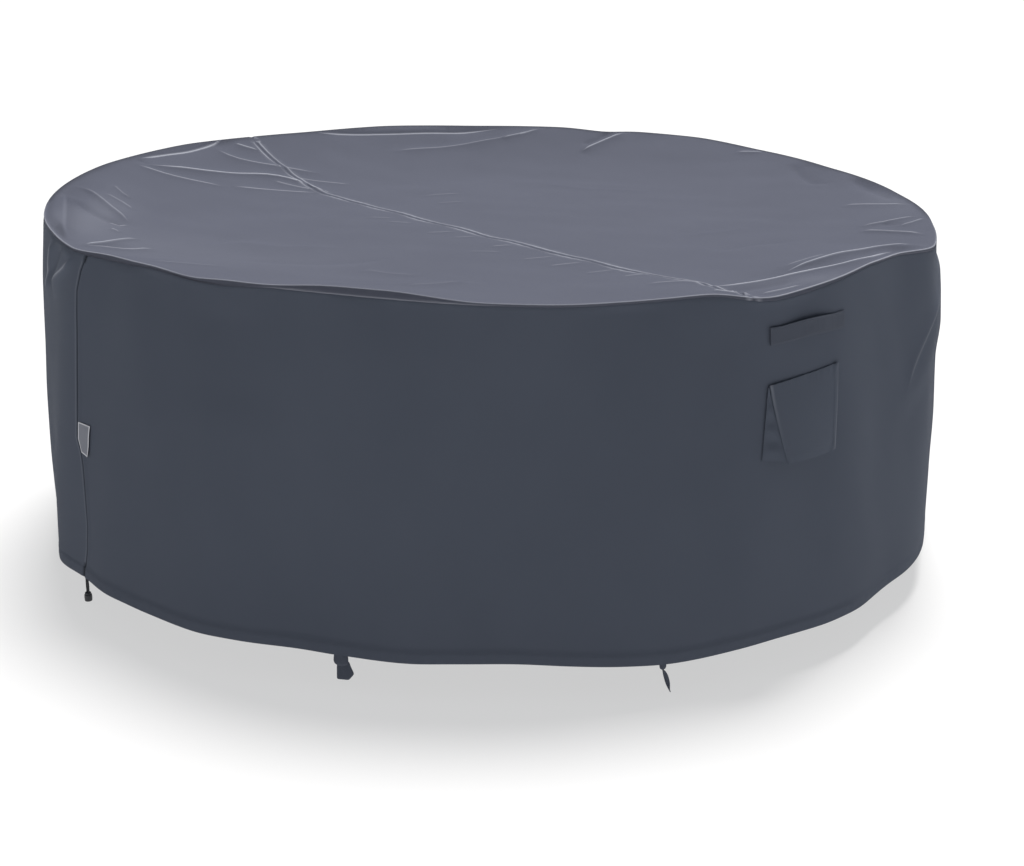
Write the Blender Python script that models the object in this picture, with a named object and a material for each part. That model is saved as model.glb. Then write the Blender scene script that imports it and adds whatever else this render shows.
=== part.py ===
"""Fitted round cover for a patio table and its chairs, as it hangs over them.

Metres, +Z up, the front of the cover towards -Y. The origin is on the underside of the
top's centre, where the furniture carries the cover. Heights in the tables are above the
hem. Angles are in degrees round the Z axis, -90 at the front and -180 at the left.
"""

import math

import bpy
import numpy as np
from mathutils import Vector
from mathutils.geometry import delaunay_2d_cdt

# ---------------------------------------------------------------- driving dimensions

CLOTH = 0.002            # coated cloth
GAP = 0.0003             # between two pieces
TOP_CENTRE = 0.640       # height of the top's centre above the hem
HEM_Z = CLOTH - TOP_CENTRE
FOLD_RADIUS = 0.005      # rounding where the top turns down

# Where the top turns down: height of the fold and how far below it the seam lies.
RIM = (
    # angle, radius, height, seam_drop
    (-173.0, 1.044, 0.702, 0.007),
    (-158.0, 1.031, 0.702, 0.007),
    (-147.0, 1.031, 0.702, 0.007),
    (-142.0, 1.000, 0.706, 0.014),
    (-132.0, 0.994, 0.710, 0.007),
    (-126.0, 0.994, 0.703, 0.007),
    (-121.0, 0.998, 0.712, 0.014),
    (-115.0, 1.000, 0.714, 0.006),
    (-108.0, 1.000, 0.725, 0.017),
    (-100.0, 1.000, 0.722, 0.018),
    (-92.0, 1.002, 0.704, 0.006),
    (-82.0, 1.017, 0.701, 0.006),
    (-65.0, 1.019, 0.703, 0.006),
    (-60.5, 1.060, 0.689, 0.008),
    (-55.0, 1.055, 0.696, 0.011),
    (-50.0, 1.052, 0.702, 0.007),
    (-43.0, 1.034, 0.708, 0.006),
    (-35.0, 1.026, 0.703, 0.006),
    (-28.0, 1.060, 0.692, 0.008),
    (-15.0, 1.018, 0.694, 0.007),
    (5.0, 0.985, 0.690, 0.007),
    (27.0, 0.973, 0.691, 0.007),
    (45.0, 1.006, 0.692, 0.007),
    (56.0, 1.032, 0.699, 0.007),
    (68.0, 1.028, 0.701, 0.007),
    (72.0, 1.010, 0.697, 0.007),
    (79.0, 1.044, 0.701, 0.007),
    (94.0, 1.047, 0.702, 0.007),
    (108.0, 1.065, 0.707, 0.007),
    (121.0, 1.053, 0.707, 0.007),
    (131.0, 1.055, 0.711, 0.007),
    (142.0, 1.069, 0.715, 0.007),
    (160.0, 1.071, 0.712, 0.007),
    (174.0, 1.057, 0.707, 0.007),
)
RIM_SOFTNESS = 1.5       # degrees over which the rim's corners are rounded
RIM_CORNERS = (-150.3, -28.0, 72.0)

# The hem, which the drawcord and the cloth's own waves make uneven.
HEM = (
    # angle, radius, lift
    (-170.0, 1.066, 0.000),
    (-163.0, 1.061, 0.000),
    (-156.0, 1.074, 0.000),
    (-150.5, 1.106, 0.000),
    (-147.0, 1.102, 0.001),
    (-143.6, 1.096, 0.005),
    (-138.5, 1.103, -0.001),
    (-133.5, 1.095, -0.001),
    (-128.0, 1.095, 0.000),
    (-122.0, 1.103, 0.000),
    (-118.0, 1.091, 0.001),
    (-111.0, 1.071, 0.001),
    (-103.0, 1.078, 0.000),
    (-98.5, 1.087, 0.000),
    (-94.0, 1.074, 0.001),
    (-88.5, 1.070, 0.000),
    (-84.0, 1.082, 0.000),
    (-78.0, 1.109, 0.000),
    (-72.5, 1.124, -0.001),
    (-66.0, 1.120, 0.000),
    (-57.0, 1.111, 0.000),
    (-51.6, 1.115, 0.000),
    (-46.4, 1.111, 0.000),
    (-41.0, 1.092, 0.001),
    (-35.0, 1.090, 0.000),
    (-29.5, 1.085, 0.000),
    (-21.5, 1.060, 0.000),
    (-14.0, 1.049, 0.000),
    (2.0, 1.063, 0.001),
    (20.0, 1.051, 0.000),
    (38.0, 1.079, -0.001),
    (53.0, 1.066, 0.002),
    (70.0, 1.096, 0.000),
    (84.0, 1.074, 0.001),
    (101.0, 1.104, -0.002),
    (117.0, 1.081, 0.001),
    (133.0, 1.108, 0.000),
    (150.0, 1.086, 0.002),
    (167.0, 1.096, -0.001),
    (180.0, 1.074, 0.000),
)
HEM_SOFTNESS = 1.8
FLARE = 1.35             # how early the side spreads on its way down

# The side's seams: one shows at the left, the other is opposite, and straight.
LEFT_SEAM = (
    # down (0 at the rim, 1 at the hem), angle
    (0.00, -145.4),
    (0.05, -146.2),
    (0.11, -146.7),
    (0.17, -146.5),
    (0.24, -146.2),
    (0.38, -145.7),
    (0.51, -145.3),
    (0.56, -145.2),
    (0.60, -144.3),
    (0.64, -143.8),
    (0.72, -143.1),
    (0.82, -142.3),
    (0.90, -142.3),
    (0.95, -142.7),
    (0.97, -143.3),
    (1.00, -143.4),
)
RIGHT_SEAM_ANGLE = 35.0

# Folds of the side: soft ridges (out) and troughs (negative) that run down it.
SIDE_FOLDS = (
    # top_angle, top_down, bottom_angle, bottom_down, half_width (degrees), out
    (-157.0, -0.02, -161.0, 0.24, 1.6, 0.006),
    (-153.0, 0.00, -159.5, 0.17, 1.7, -0.006),
    (-148.6, -0.01, -157.5, 0.21, 2.0, 0.006),
    (-135.0, 0.02, -131.0, 0.60, 5.0, 0.003),
    (-121.0, 0.01, -118.0, 0.40, 5.0, -0.004),
    (-103.0, 0.00, -104.0, 0.75, 6.0, 0.004),
    (-88.0, 0.05, -92.0, 1.00, 5.0, -0.004),
    (-64.5, 0.00, -71.0, 0.60, 4.0, -0.004),
    (-44.0, 0.02, -41.0, 0.85, 4.5, -0.004),
    (-21.0, 0.10, -36.5, 0.52, 3.2, 0.008),
    (-14.0, 0.04, -13.0, 0.42, 9.0, 0.011),
    (-15.0, 0.00, -14.0, 0.88, 8.0, 0.008),
    (8.0, 0.00, 12.0, 0.70, 5.0, -0.007),
    (27.0, 0.00, 22.0, 0.90, 5.0, 0.006),
    (49.0, 0.00, 57.0, 0.65, 4.5, -0.010),
    (70.0, 0.00, 62.0, 0.50, 3.6, -0.012),
    (74.0, 0.00, 83.0, 0.75, 4.0, 0.011),
    (95.0, 0.00, 89.0, 0.80, 5.0, -0.009),
    (106.0, 0.00, 103.0, 0.50, 3.6, 0.009),
    (114.0, 0.00, 121.0, 0.90, 5.0, -0.011),
    (132.0, 0.00, 125.0, 0.55, 3.8, 0.010),
    (147.0, 0.00, 153.0, 0.80, 4.5, -0.010),
    (160.0, 0.00, 168.0, 0.60, 4.0, 0.009),
    (-178.0, 0.00, -178.0, 0.75, 4.0, -0.006),
    (-167.0, -0.05, -165.0, 1.05, 7.0, 0.007),
)

# The top is cut in two along a straight seam that passes a hand's width off its centre.
TOP_SEAM_START = Vector((-0.702, 0.822))
TOP_SEAM_END = Vector((0.517, -0.946))

# Between the chair backs and the table the top sinks to a plateau, which leans a little.
PLATEAU_LEAN = 0.040     # rise per metre along the seam, from back left to front right
PLATEAU_EDGE = 0.60      # share of the radius where the cloth starts to climb to the rim
CLIMB = 1.6              # how late it climbs

# Creases of the top, each through three points of the plan.
TOP_CREASES = (
    # start x, y, bend x, y, end x, y, height, width on the left, width on the right
    (-0.945, 0.440, -0.760, 0.510, -0.545, 0.590, 0.008, 0.060, 0.045),
    (-0.945, 0.430, -0.875, 0.415, -0.770, 0.440, 0.006, 0.030, 0.060),
    (-0.790, 0.700, -0.640, 0.650, -0.450, 0.640, 0.007, 0.050, 0.050),
    (-1.030, 0.060, -0.985, -0.180, -0.900, -0.470, 0.008, 0.120, 0.060),
    (-1.025, 0.130, -0.955, 0.060, -0.835, -0.110, 0.009, 0.050, 0.030),
    (-1.000, 0.020, -0.925, -0.070, -0.840, -0.150, -0.009, 0.035, 0.045),
    (-0.865, -0.455, -0.822, -0.350, -0.785, -0.245, 0.006, 0.045, 0.035),
    (-0.860, -0.480, -0.800, -0.440, -0.735, -0.375, 0.006, 0.030, 0.035),
    (0.930, -0.455, 0.735, -0.600, 0.430, -0.786, 0.011, 0.035, 0.060),
    (0.800, -0.590, 0.640, -0.690, 0.470, -0.735, 0.006, 0.040, 0.040),
    (0.790, 0.545, 0.810, 0.380, 0.865, 0.270, -0.010, 0.080, 0.050),
    (0.990, -0.050, 0.915, -0.020, 0.820, 0.015, 0.007, 0.035, 0.070),
    (0.945, -0.400, 0.915, -0.355, 0.870, -0.330, 0.006, 0.040, 0.040),
    (0.390, 0.955, 0.340, 0.925, 0.230, 0.840, 0.009, 0.040, 0.070),
    (0.120, 1.035, -0.090, 0.935, -0.330, 0.855, 0.007, 0.060, 0.060),
    (-0.350, -0.930, -0.180, -0.800, 0.000, -0.720, 0.006, 0.080, 0.060),
    (-0.330, -0.520, -0.200, -0.590, -0.060, -0.680, 0.005, 0.090, 0.060),
)
CREASE_ROUND = 0.006     # rounding of a crease's crest
CREASE_STEPS = 8         # straight steps that a crease is worked out in
CREASE_EDGE_FADE = 0.030 # a crease dies out this far from the rim

# How finely the cloth is faceted.
PANEL_COLUMNS = 48       # for each of the side's two panels
SIDE_ROWS = (0.0, 0.03, 0.08, 0.14, 0.21, 0.30, 0.43, 0.56, 0.63, 0.73, 0.84, 0.95, 1.0)
TOP_SPACING = 0.090      # between points in the middle of the top
LEAD_IN = 0.045          # from the rim's fold to the first ring of points inside it
SEAM_ROOM = 0.012        # points of the rim keep this far from the top's seam
CREASE_ROOM = 0.020      # and points of a crease this far from the seam and the rim

# Handle, vent hood and label, placed on the side by angle and height above the hem.
HANDLE = {"left": -59.85, "right": -48.9, "left_height": 0.6157, "right_height": 0.6184,
          "width": 0.0345, "thickness": 0.0025, "sewn": 0.12, "stand_off": 0.0120, "arch": 0.005}
VENT = {"left": -60.1, "right": -50.3, "left_height": 0.5218, "right_height": 0.5368}
VENT_FLAP_FOOT = {"left": -59.2, "right": -51.95, "left_height": 0.373, "right_height": 0.3715,
                  "left_out": 0.030, "right_out": 0.013}
VENT_GUSSETS = (
    # side, where it starts down the flap's edge, foot's angle at the top and at the bottom
    ("left", 0.16, -60.25, -61.2),
    ("right", 0.50, -50.9, -53.3),
)
VENT_CLEARANCE = 0.0025   # a gusset stops this far short of the flap's underside
LABEL = {"inset": 0.3, "right": -142.4, "top": 0.342, "bottom": 0.280, "lean": 0.004,
         "thickness": 0.001}

# Ties at the hem.
CORD = {"diameter": 0.004, "angle": -143.4, "radius": 1.091}
CORD_LEFT_ROUTE = (
    # right, up, from the seam's foot
    (-0.0028, -0.0010), (-0.0035, -0.0170), (-0.0034, -0.0330),
)
CORD_RIGHT_ROUTE = (
    (0.0028, -0.0010), (0.0048, -0.0170), (0.0036, -0.0330),
)
CORD_TOGGLE = {"radius": 0.0085, "half_height": 0.011, "top": -0.0335}
STRAP_LEFT = {"angle": -105.9, "radius": 1.066}
STRAP_RIGHT = {"angle": -72.4, "radius": 1.110}

DARK_GREY = (0.057, 0.067, 0.084)
LIGHTER_GREY = (0.080, 0.084, 0.105)
NEAR_BLACK = (0.020, 0.021, 0.024)
PALE_GREY = (0.420, 0.430, 0.450)


# ---------------------------------------------------------------- objects

def clear_scene():
    for old in list(bpy.data.objects):
        bpy.data.objects.remove(old, do_unlink=True)


def material(name, colour, roughness):
    """One material for each piece, metallic 0 throughout."""
    made = bpy.data.materials.new(name)
    made.use_nodes = True
    shader = made.node_tree.nodes["Principled BSDF"]
    shader.inputs["Base Color"].default_value = (*colour, 1.0)
    shader.inputs["Roughness"].default_value = roughness
    shader.inputs["Metallic"].default_value = 0.0
    return made


def add_solid(name, points, faces, colour, roughness=0.8):
    mesh = bpy.data.meshes.new(name)
    mesh.from_pydata([tuple(p) for p in points], [], faces)
    mesh.validate()
    mesh.update()
    mesh.shade_smooth()
    mesh.set_sharp_from_angle(angle=math.radians(40))
    made = bpy.data.objects.new(name, mesh)
    bpy.context.scene.collection.objects.link(made)
    mesh.materials.append(material(name, colour, roughness))
    return made


def border(faces):
    """Edges that only one face uses, in that face's direction."""
    used = {}
    for face in faces:
        for a, b in zip(face, (*face[1:], face[0])):
            used[(a, b)] = True
    return [(a, b) for a, b in used if (b, a) not in used]


def split_quads(points, faces):
    """Triangles, each quad split along its shorter diagonal."""
    made = []
    for face in faces:
        if len(face) == 3:
            made.append(face)
            continue
        a, b, c, d = face
        if np.linalg.norm(points[a] - points[c]) <= np.linalg.norm(points[b] - points[d]):
            made.extend([(a, b, c), (a, c, d)])
        else:
            made.extend([(a, b, d), (b, c, d)])
    return made


def thicken(name, outer, normals, faces, colour, thickness=CLOTH):
    """A closed solid: the outer faces, the same faces set back by the thickness, and walls.

    Both skins are split alike, so that the cloth is equally thick throughout. Walls are split
    along the diagonal that starts at the end further along one direction, so that two edges
    sewn together are split alike too.
    """
    faces = split_quads(outer, faces)
    count = len(outer)
    inner = outer - normals * thickness
    order = outer @ np.array((1.0, -1.0, -0.5))
    walls = []
    for a, b in border(faces):
        if order[a] > order[b]:
            walls.extend([(b, a, b + count), (a, a + count, b + count)])
        else:
            walls.extend([(b, a, a + count), (b, a + count, b + count)])
    backs = [tuple(i + count for i in reversed(face)) for face in faces]
    return add_solid(name, np.vstack([outer, inner]), [*faces, *backs, *walls], colour)


def grid_faces(rows, columns):
    """Faces of a grid of points stored row by row, the rows running down as seen from outside."""
    faces = []
    for row in range(rows - 1):
        for column in range(columns - 1):
            a = row * columns + column
            faces.append((a, a + columns, a + columns + 1, a + 1))
    return faces


# ---------------------------------------------------------------- curves round the cover

CIRCLE = np.arange(-180.0, 180.0, 0.5)


def round_curve(angles, values, softness):
    """Values joined by straight lines round the circle, with softened corners."""
    line = np.interp(CIRCLE, angles, values, period=360.0)
    reach = int(4 * softness / 0.5)
    shifts = np.arange(-reach, reach + 1)
    weights = np.exp(-0.5 * (shifts * 0.5 / softness) ** 2)
    weights /= weights.sum()
    return sum(np.roll(line, shift) * weight for shift, weight in zip(shifts, weights))


def on_circle(angle, curve):
    return np.interp(angle, CIRCLE, curve, period=360.0)


RIM_ANGLES, RIM_RADII, RIM_HEIGHTS, RIM_DROPS = np.array(RIM).T
RIM_RADIUS = round_curve(RIM_ANGLES, RIM_RADII, RIM_SOFTNESS)
RIM_HEIGHT = round_curve(RIM_ANGLES, RIM_HEIGHTS, RIM_SOFTNESS)
RIM_DROP = round_curve(RIM_ANGLES, RIM_DROPS, RIM_SOFTNESS)
HEM_ANGLES, HEM_RADII, HEM_LIFTS = np.array(HEM).T
HEM_RADIUS = round_curve(HEM_ANGLES, HEM_RADII, HEM_SOFTNESS)
HEM_LIFT = round_curve(HEM_ANGLES, HEM_LIFTS, HEM_SOFTNESS)


def smoothstep(low, high, value):
    share = np.clip((value - low) / (high - low), 0.0, 1.0)
    return share * share * (3.0 - 2.0 * share)


# ---------------------------------------------------------------- the top

SEAM_WAY = (TOP_SEAM_END - TOP_SEAM_START).normalized()
SEAM_END_ANGLES = [math.degrees(math.atan2(end.y, end.x)) for end in (TOP_SEAM_START, TOP_SEAM_END)]
LIP_RING = 3             # the rim's outermost ring, where the top is sewn to the side
CORNER_REACH = 3.0       # degrees that a column is moved at most


def crease_path(crease):
    """Points along a crease: a curve from its start through its bend to its end."""
    start, bend, end = (np.array(crease[i:i + 2]) for i in (0, 2, 4))
    control = 2.0 * bend - 0.5 * (start + end)
    t = np.linspace(0.0, 1.0, CREASE_STEPS + 1)[:, None]
    return (1 - t) ** 2 * start + 2 * t * (1 - t) * control + t ** 2 * end


def crease_height(crease, x, y):
    """How much one crease lifts the cloth at each point."""
    height, left_width, right_width = crease[6:9]
    path = crease_path(crease)
    nearest = np.full(x.shape, 9.0)
    side = np.zeros(x.shape)
    along = np.zeros(x.shape)
    for step in range(CREASE_STEPS):
        (ax, ay), (bx, by) = path[step], path[step + 1]
        run = np.array((bx - ax, by - ay))
        length = np.hypot(*run)
        share = np.clip(((x - ax) * run[0] + (y - ay) * run[1]) / length ** 2, 0.0, 1.0)
        away = np.hypot(x - ax - share * run[0], y - ay - share * run[1])
        closer = away < nearest
        nearest = np.where(closer, away, nearest)
        side = np.where(closer, run[0] * (y - ay) - run[1] * (x - ax), side)
        along = np.where(closer, (step + share) / CREASE_STEPS, along)
    width = np.where(side > 0, left_width, right_width)
    slope = (np.sqrt(nearest ** 2 + CREASE_ROUND ** 2) - CREASE_ROUND) / width
    ends = smoothstep(0.0, 0.15, along + 0.05) * smoothstep(0.0, 0.5, 1.0 - along)
    return height * np.exp(-3.0 * slope) * ends


def top_height(x, y):
    """Height of the top above the hem, inside the rim."""
    angle = np.degrees(np.arctan2(y, x))
    reach = np.hypot(x, y)
    radius = on_circle(angle, RIM_RADIUS) - FOLD_RADIUS
    plateau = TOP_CENTRE + PLATEAU_LEAN * (x * SEAM_WAY.x + y * SEAM_WAY.y)
    climb = np.clip((reach / radius - PLATEAU_EDGE) / (1.0 - PLATEAU_EDGE), 0.0, 1.0) ** CLIMB
    height = plateau + (on_circle(angle, RIM_HEIGHT) - plateau) * climb
    inside = smoothstep(0.0, CREASE_EDGE_FADE, radius - reach)
    return height + inside * sum(crease_height(crease, x, y) for crease in TOP_CREASES)


def top_point(x, y):
    """The top's outer face, given in a plan where the cloth beyond the rim lies flat."""
    angle = np.arctan2(y, x)
    degrees = np.degrees(angle)
    radius = on_circle(degrees, RIM_RADIUS)
    start = radius - FOLD_RADIUS
    reach = np.hypot(x, y)
    flat = np.minimum(reach, start)
    height = top_height(flat * np.cos(angle), flat * np.sin(angle))
    past = np.maximum(reach - start, 0.0)
    turned = np.minimum(past / FOLD_RADIUS, math.pi / 2)
    out = flat + FOLD_RADIUS * np.sin(turned)
    height = height - FOLD_RADIUS * (1.0 - np.cos(turned))
    height = height - np.maximum(past - FOLD_RADIUS * math.pi / 2, 0.0)
    return np.stack([out * np.cos(angle), out * np.sin(angle), height + HEM_Z], axis=-1)


def normals_of(surface, u, v, step=0.0005):
    """Unit normals of a surface by differences, u and v running to its left-hand side."""
    along = surface(u + step, v) - surface(u - step, v)
    across = surface(u, v + step) - surface(u, v - step)
    normal = np.cross(along, across)
    return normal / np.linalg.norm(normal, axis=-1, keepdims=True)


def off_seam(x, y):
    """Signed distance from the top's seam, positive behind it."""
    return SEAM_WAY.x * (y - TOP_SEAM_START.y) - SEAM_WAY.y * (x - TOP_SEAM_START.x)


def ring_reaches(angle):
    """Plan distances of the rim's four rings: lead-in, start and end of the fold, lower edge."""
    start = on_circle(angle, RIM_RADIUS) - FOLD_RADIUS
    end = start + FOLD_RADIUS * math.pi / 2
    return start - LEAD_IN, start, end, end + on_circle(angle, RIM_DROP) - FOLD_RADIUS


def plan_spot(angle, reach):
    return reach * np.cos(np.radians(angle)), reach * np.sin(np.radians(angle))


def ring_crossing(ring, side, near):
    """Angle at which a ring meets one edge of the top's seam, close to one of its ends."""
    low, high = near - 20.0, near + 20.0

    def behind(angle):
        return off_seam(*plan_spot(angle, ring_reaches(angle)[ring])) > side * GAP / 2

    low_behind = behind(low)
    for _ in range(50):
        middle = (low + high) / 2
        if behind(middle) == low_behind:
            low = middle
        else:
            high = middle
    return low


def column_angles():
    """Angles of the side's columns, which the rim shares, for the front and the back panel.

    The nearest columns are moved to the rim's corners and to the ends of the top's seam.
    """
    left = LEFT_SEAM[0][1]
    front = np.linspace(left, RIGHT_SEAM_ANGLE, PANEL_COLUMNS + 1)
    back = np.linspace(RIGHT_SEAM_ANGLE, left + 360.0, PANEL_COLUMNS + 1)
    seam_ends = [ring_crossing(LIP_RING, 0, near) for near in SEAM_END_ANGLES]
    for panel in (front, back):
        for corner in (*RIM_CORNERS, *seam_ends):
            corner = corner + 360.0 if corner < panel[0] else corner
            nearest = np.argmin(abs(panel - corner))
            if 0 < nearest < PANEL_COLUMNS and abs(panel[nearest] - corner) < CORNER_REACH:
                panel[nearest] = corner
    return front, back


def plan_room(point, side):
    """Distance from a plan point to the nearer of the innermost ring and the seam."""
    x, y = point
    inner_ring = ring_reaches(math.degrees(math.atan2(y, x)))[0]
    return min(inner_ring - math.hypot(x, y), off_seam(x, y) * side)


def filling_points(taken, side):
    """Evenly spread plan points inside a panel, clear of those already there."""
    taken = np.array(taken)
    filling = []
    row_height = TOP_SPACING * math.sqrt(0.75)
    count = int(1.1 / row_height)
    for row in range(-count, count + 1):
        for column in range(-count, count + 1):
            spot = ((column + 0.5 * (row % 2)) * TOP_SPACING, row * row_height)
            clear = np.hypot(*(taken - spot).T).min() > 0.45 * TOP_SPACING
            if clear and plan_room(spot, side) > 0.4 * TOP_SPACING:
                filling.append(spot)
    return filling


def panel_plan(side):
    """Plan points and kept edges of one top panel: side 1 is behind the seam, -1 before it."""
    points, edges = [], []

    def add_line(line):
        first = len(points)
        points.extend(line)
        edges.extend((i, i + 1) for i in range(first, len(points) - 1))
        return first, len(points) - 1

    front, back = column_angles()
    angles = np.concatenate([front, back[1:-1]])
    first_end, last_end = SEAM_END_ANGLES[::-side]
    angles = angles[np.argsort(np.mod(angles - first_end, 360.0))]
    ends = []
    for ring in range(LIP_RING + 1):
        spots = np.stack(plan_spot(angles, ring_reaches(angles)[ring]), axis=-1)
        kept = [tuple(spot) for spot in spots if off_seam(*spot) * side > SEAM_ROOM]
        crossings = []
        for near in (first_end, last_end):
            angle = ring_crossing(ring, side, near)
            crossings.append(plan_spot(angle, ring_reaches(angle)[ring]))
        ends.append(add_line([crossings[0], *kept, crossings[1]]))
    for inner, outer in zip(ends, ends[1:]):
        edges.extend(zip(inner, outer))

    seam_from, seam_to = (Vector(points[i]) for i in ends[0])
    count = round((seam_to - seam_from).length / TOP_SPACING)
    first, last = add_line([tuple(seam_from.lerp(seam_to, i / count)) for i in range(1, count)])
    edges.extend([(ends[0][0], first), (last, ends[0][1])])

    for crease in TOP_CREASES:
        line = [tuple(p) for p in crease_path(crease)[::2] if plan_room(p, side) > CREASE_ROOM]
        if len(line) > 1:
            add_line(line)
    points.extend(filling_points(points, side))
    return points, edges


def build_top_panel(name, side):
    points, edges = panel_plan(side)
    verts, _, faces, _, _, _ = delaunay_2d_cdt([Vector(p) for p in points], edges, [], 1, 1e-6)
    x, y = np.array([tuple(v) for v in verts]).T
    thicken(name, top_point(x, y), normals_of(top_point, x, y), [tuple(f) for f in faces], DARK_GREY)


# ---------------------------------------------------------------- the side

def fold_out(angle, down):
    """How far the side's folds carry it out at each point."""
    total = np.zeros(np.broadcast(angle, down).shape)
    for top_angle, top_down, bottom_angle, bottom_down, half_width, out in SIDE_FOLDS:
        share = (down - top_down) / (bottom_down - top_down)
        middle = top_angle + (bottom_angle - top_angle) * np.clip(share, 0.0, 1.0)
        aside = np.mod(angle - middle + 180.0, 360.0) - 180.0
        ends = smoothstep(0.0, 0.25, share) * smoothstep(0.0, 0.35, 1.0 - share)
        total += out * np.exp(-(aside / half_width) ** 2) * ends
    return total * smoothstep(0.0, 0.03, down)


def side_point(angle, down, stand_off=0.0):
    """The side's outer face: down is 0 at the rim's seam and 1 at the hem."""
    rim_radius = on_circle(angle, RIM_RADIUS)
    spread = 1.0 - (1.0 - down) ** FLARE
    radius = rim_radius + (on_circle(angle, HEM_RADIUS) - rim_radius) * spread
    radius = radius + fold_out(angle, down) + stand_off
    top = on_circle(angle, RIM_HEIGHT) - on_circle(angle, RIM_DROP) - GAP
    height = top + (on_circle(angle, HEM_LIFT) - top) * down
    turn = np.radians(angle)
    return np.stack([radius * np.cos(turn), radius * np.sin(turn), height + HEM_Z], axis=-1)


def side_normals(angle, down):
    """Outward normals of the side."""
    step = 0.05
    along = side_point(angle + step, down) - side_point(angle - step, down)
    low, high = np.maximum(down - 0.002, 0.0), np.minimum(down + 0.002, 1.0)
    upward = side_point(angle, low) - side_point(angle, high)
    normal = np.cross(along, upward)
    return normal / np.linalg.norm(normal, axis=-1, keepdims=True)


def down_at(angle, height):
    """How far down the side a height above the hem lies."""
    top = on_circle(angle, RIM_HEIGHT) - on_circle(angle, RIM_DROP)
    return (top - height) / (top - on_circle(angle, HEM_LIFT))


def on_side(angle, height, stand_off=0.0):
    """A point over the side's outer face at a height above the hem."""
    return side_point(angle, down_at(angle, height), stand_off)


def build_side_panel(name, columns, left_seam, right_seam):
    """One panel of the side; each seam gives the panel's edge as an angle for each row."""
    rows = np.array(SIDE_ROWS)
    share = (columns - columns[0]) / (columns[-1] - columns[0])
    left, right = left_seam(rows)[:, None], right_seam(rows)[:, None]
    angle = left + (right - left) * share[None, :]
    down = np.broadcast_to(rows[:, None], angle.shape)
    outer = side_point(angle, down).reshape(-1, 3)
    normals = side_normals(angle, down).reshape(-1, 3)
    thicken(name, outer, normals, grid_faces(len(rows), len(columns)), DARK_GREY)


def build_side():
    front, back = column_angles()
    downs, angles = np.array(LEFT_SEAM).T
    half_gap = math.degrees(GAP / 2)   # the radius is close to 1 m

    def left_seam(down, shift):
        return np.interp(down, downs, angles) + shift

    def right_seam(down, shift):
        return np.full(down.shape, RIGHT_SEAM_ANGLE + shift)

    build_side_panel("skirt_panel_front", front,
                     lambda down: left_seam(down, half_gap), lambda down: right_seam(down, -half_gap))
    build_side_panel("skirt_panel_back", back,
                     lambda down: right_seam(down, half_gap),
                     lambda down: left_seam(down, 360.0 - half_gap))


# ---------------------------------------------------------------- handle, vent, label

def sheet_over(name, outer, colour, thickness=CLOTH):
    """A thin solid from a grid of outer points, rows down and columns to the viewer's right."""
    rows, columns = outer.shape[:2]
    down = np.gradient(outer, axis=0)
    across = np.gradient(outer, axis=1)
    normals = np.cross(down, across)
    normals /= np.linalg.norm(normals, axis=-1, keepdims=True)
    return thicken(name, outer.reshape(-1, 3), normals.reshape(-1, 3), grid_faces(rows, columns),
                   colour, thickness)


def lerp(a, b, share):
    return a + (b - a) * share


def build_handle():
    h = HANDLE
    across = np.linspace(0.0, 1.0, 21)[None, :]
    rows = np.linspace(0.5, -0.5, 3)[:, None]
    angle = lerp(h["left"], h["right"], across) + 0 * rows
    bow = np.sin(math.pi * np.clip((across - h["sewn"]) / (1 - 2 * h["sewn"]), 0.0, 1.0)) ** 1.3
    height = lerp(h["left_height"], h["right_height"], across) + rows * h["width"] + h["arch"] * bow
    out = h["thickness"] + 2 * GAP + h["stand_off"] * bow + 0 * rows
    sheet_over("handle_strap", on_side(angle, height, out), DARK_GREY, h["thickness"])


def flap_edge(side, share):
    """Angle, height and stand-off of the flap's left or right edge, share 0 top to 1 foot."""
    foot = VENT_FLAP_FOOT
    angle = lerp(VENT[side], foot[side], share ** 1.3)
    height = lerp(VENT[side + "_height"], foot[side + "_height"], share)
    out = CLOTH + 2 * GAP + foot[side + "_out"] * share ** 1.2
    return angle, height, out


def build_vent():
    share = np.linspace(0.0, 1.0, 8)[:, None]
    across = np.linspace(0.0, 1.0, 9)[None, :]
    left, right = flap_edge("left", share), flap_edge("right", share)
    angle, height, out = (lerp(a, b, across) for a, b in zip(left, right))
    belly = 0.006 * np.sin(math.pi * across) * share
    sheet_over("vent_flap", on_side(angle, height, out + belly), DARK_GREY)

    for side, start, foot_top, foot_bottom in VENT_GUSSETS:
        share = np.linspace(start, 0.985, 7)[:, None]
        across = np.linspace(0.0, 1.0, 4)[None, :]
        edge_angle, edge_height, edge_out = flap_edge(side, share)
        foot_angle = lerp(foot_top, foot_bottom, share)
        edge = on_side(edge_angle, edge_height, edge_out - CLOTH - 2 * GAP)
        foot = on_side(foot_angle, edge_height, CLOTH + 2 * GAP + 0 * share)
        reach = np.linalg.norm(edge - foot, axis=-1, keepdims=True)
        grid = foot + (edge - foot) * (1.0 - VENT_CLEARANCE / reach) * across[..., None]
        sheet_over("vent_gusset_" + side, grid, DARK_GREY)


def build_label():
    """The label is sewn into the side's seam along its left edge and lifts a little."""
    label = LABEL
    across = np.linspace(0.0, 1.0, 4)[None, :]
    share = np.linspace(0.0, 1.0, 6)[:, None]
    height = lerp(label["top"], label["bottom"], share) - label["lean"] * across * (share - 0.5)
    left = np.interp(down_at(label["right"], height), *np.array(LEFT_SEAM).T) + label["inset"]
    angle = lerp(left, label["right"], across)
    out = label["thickness"] + 2 * GAP + 0.003 * across * (0.4 + 0.6 * share)
    sheet_over("side_label", on_side(angle, height, out), PALE_GREY, label["thickness"])


# ---------------------------------------------------------------- ties at the hem

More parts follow.
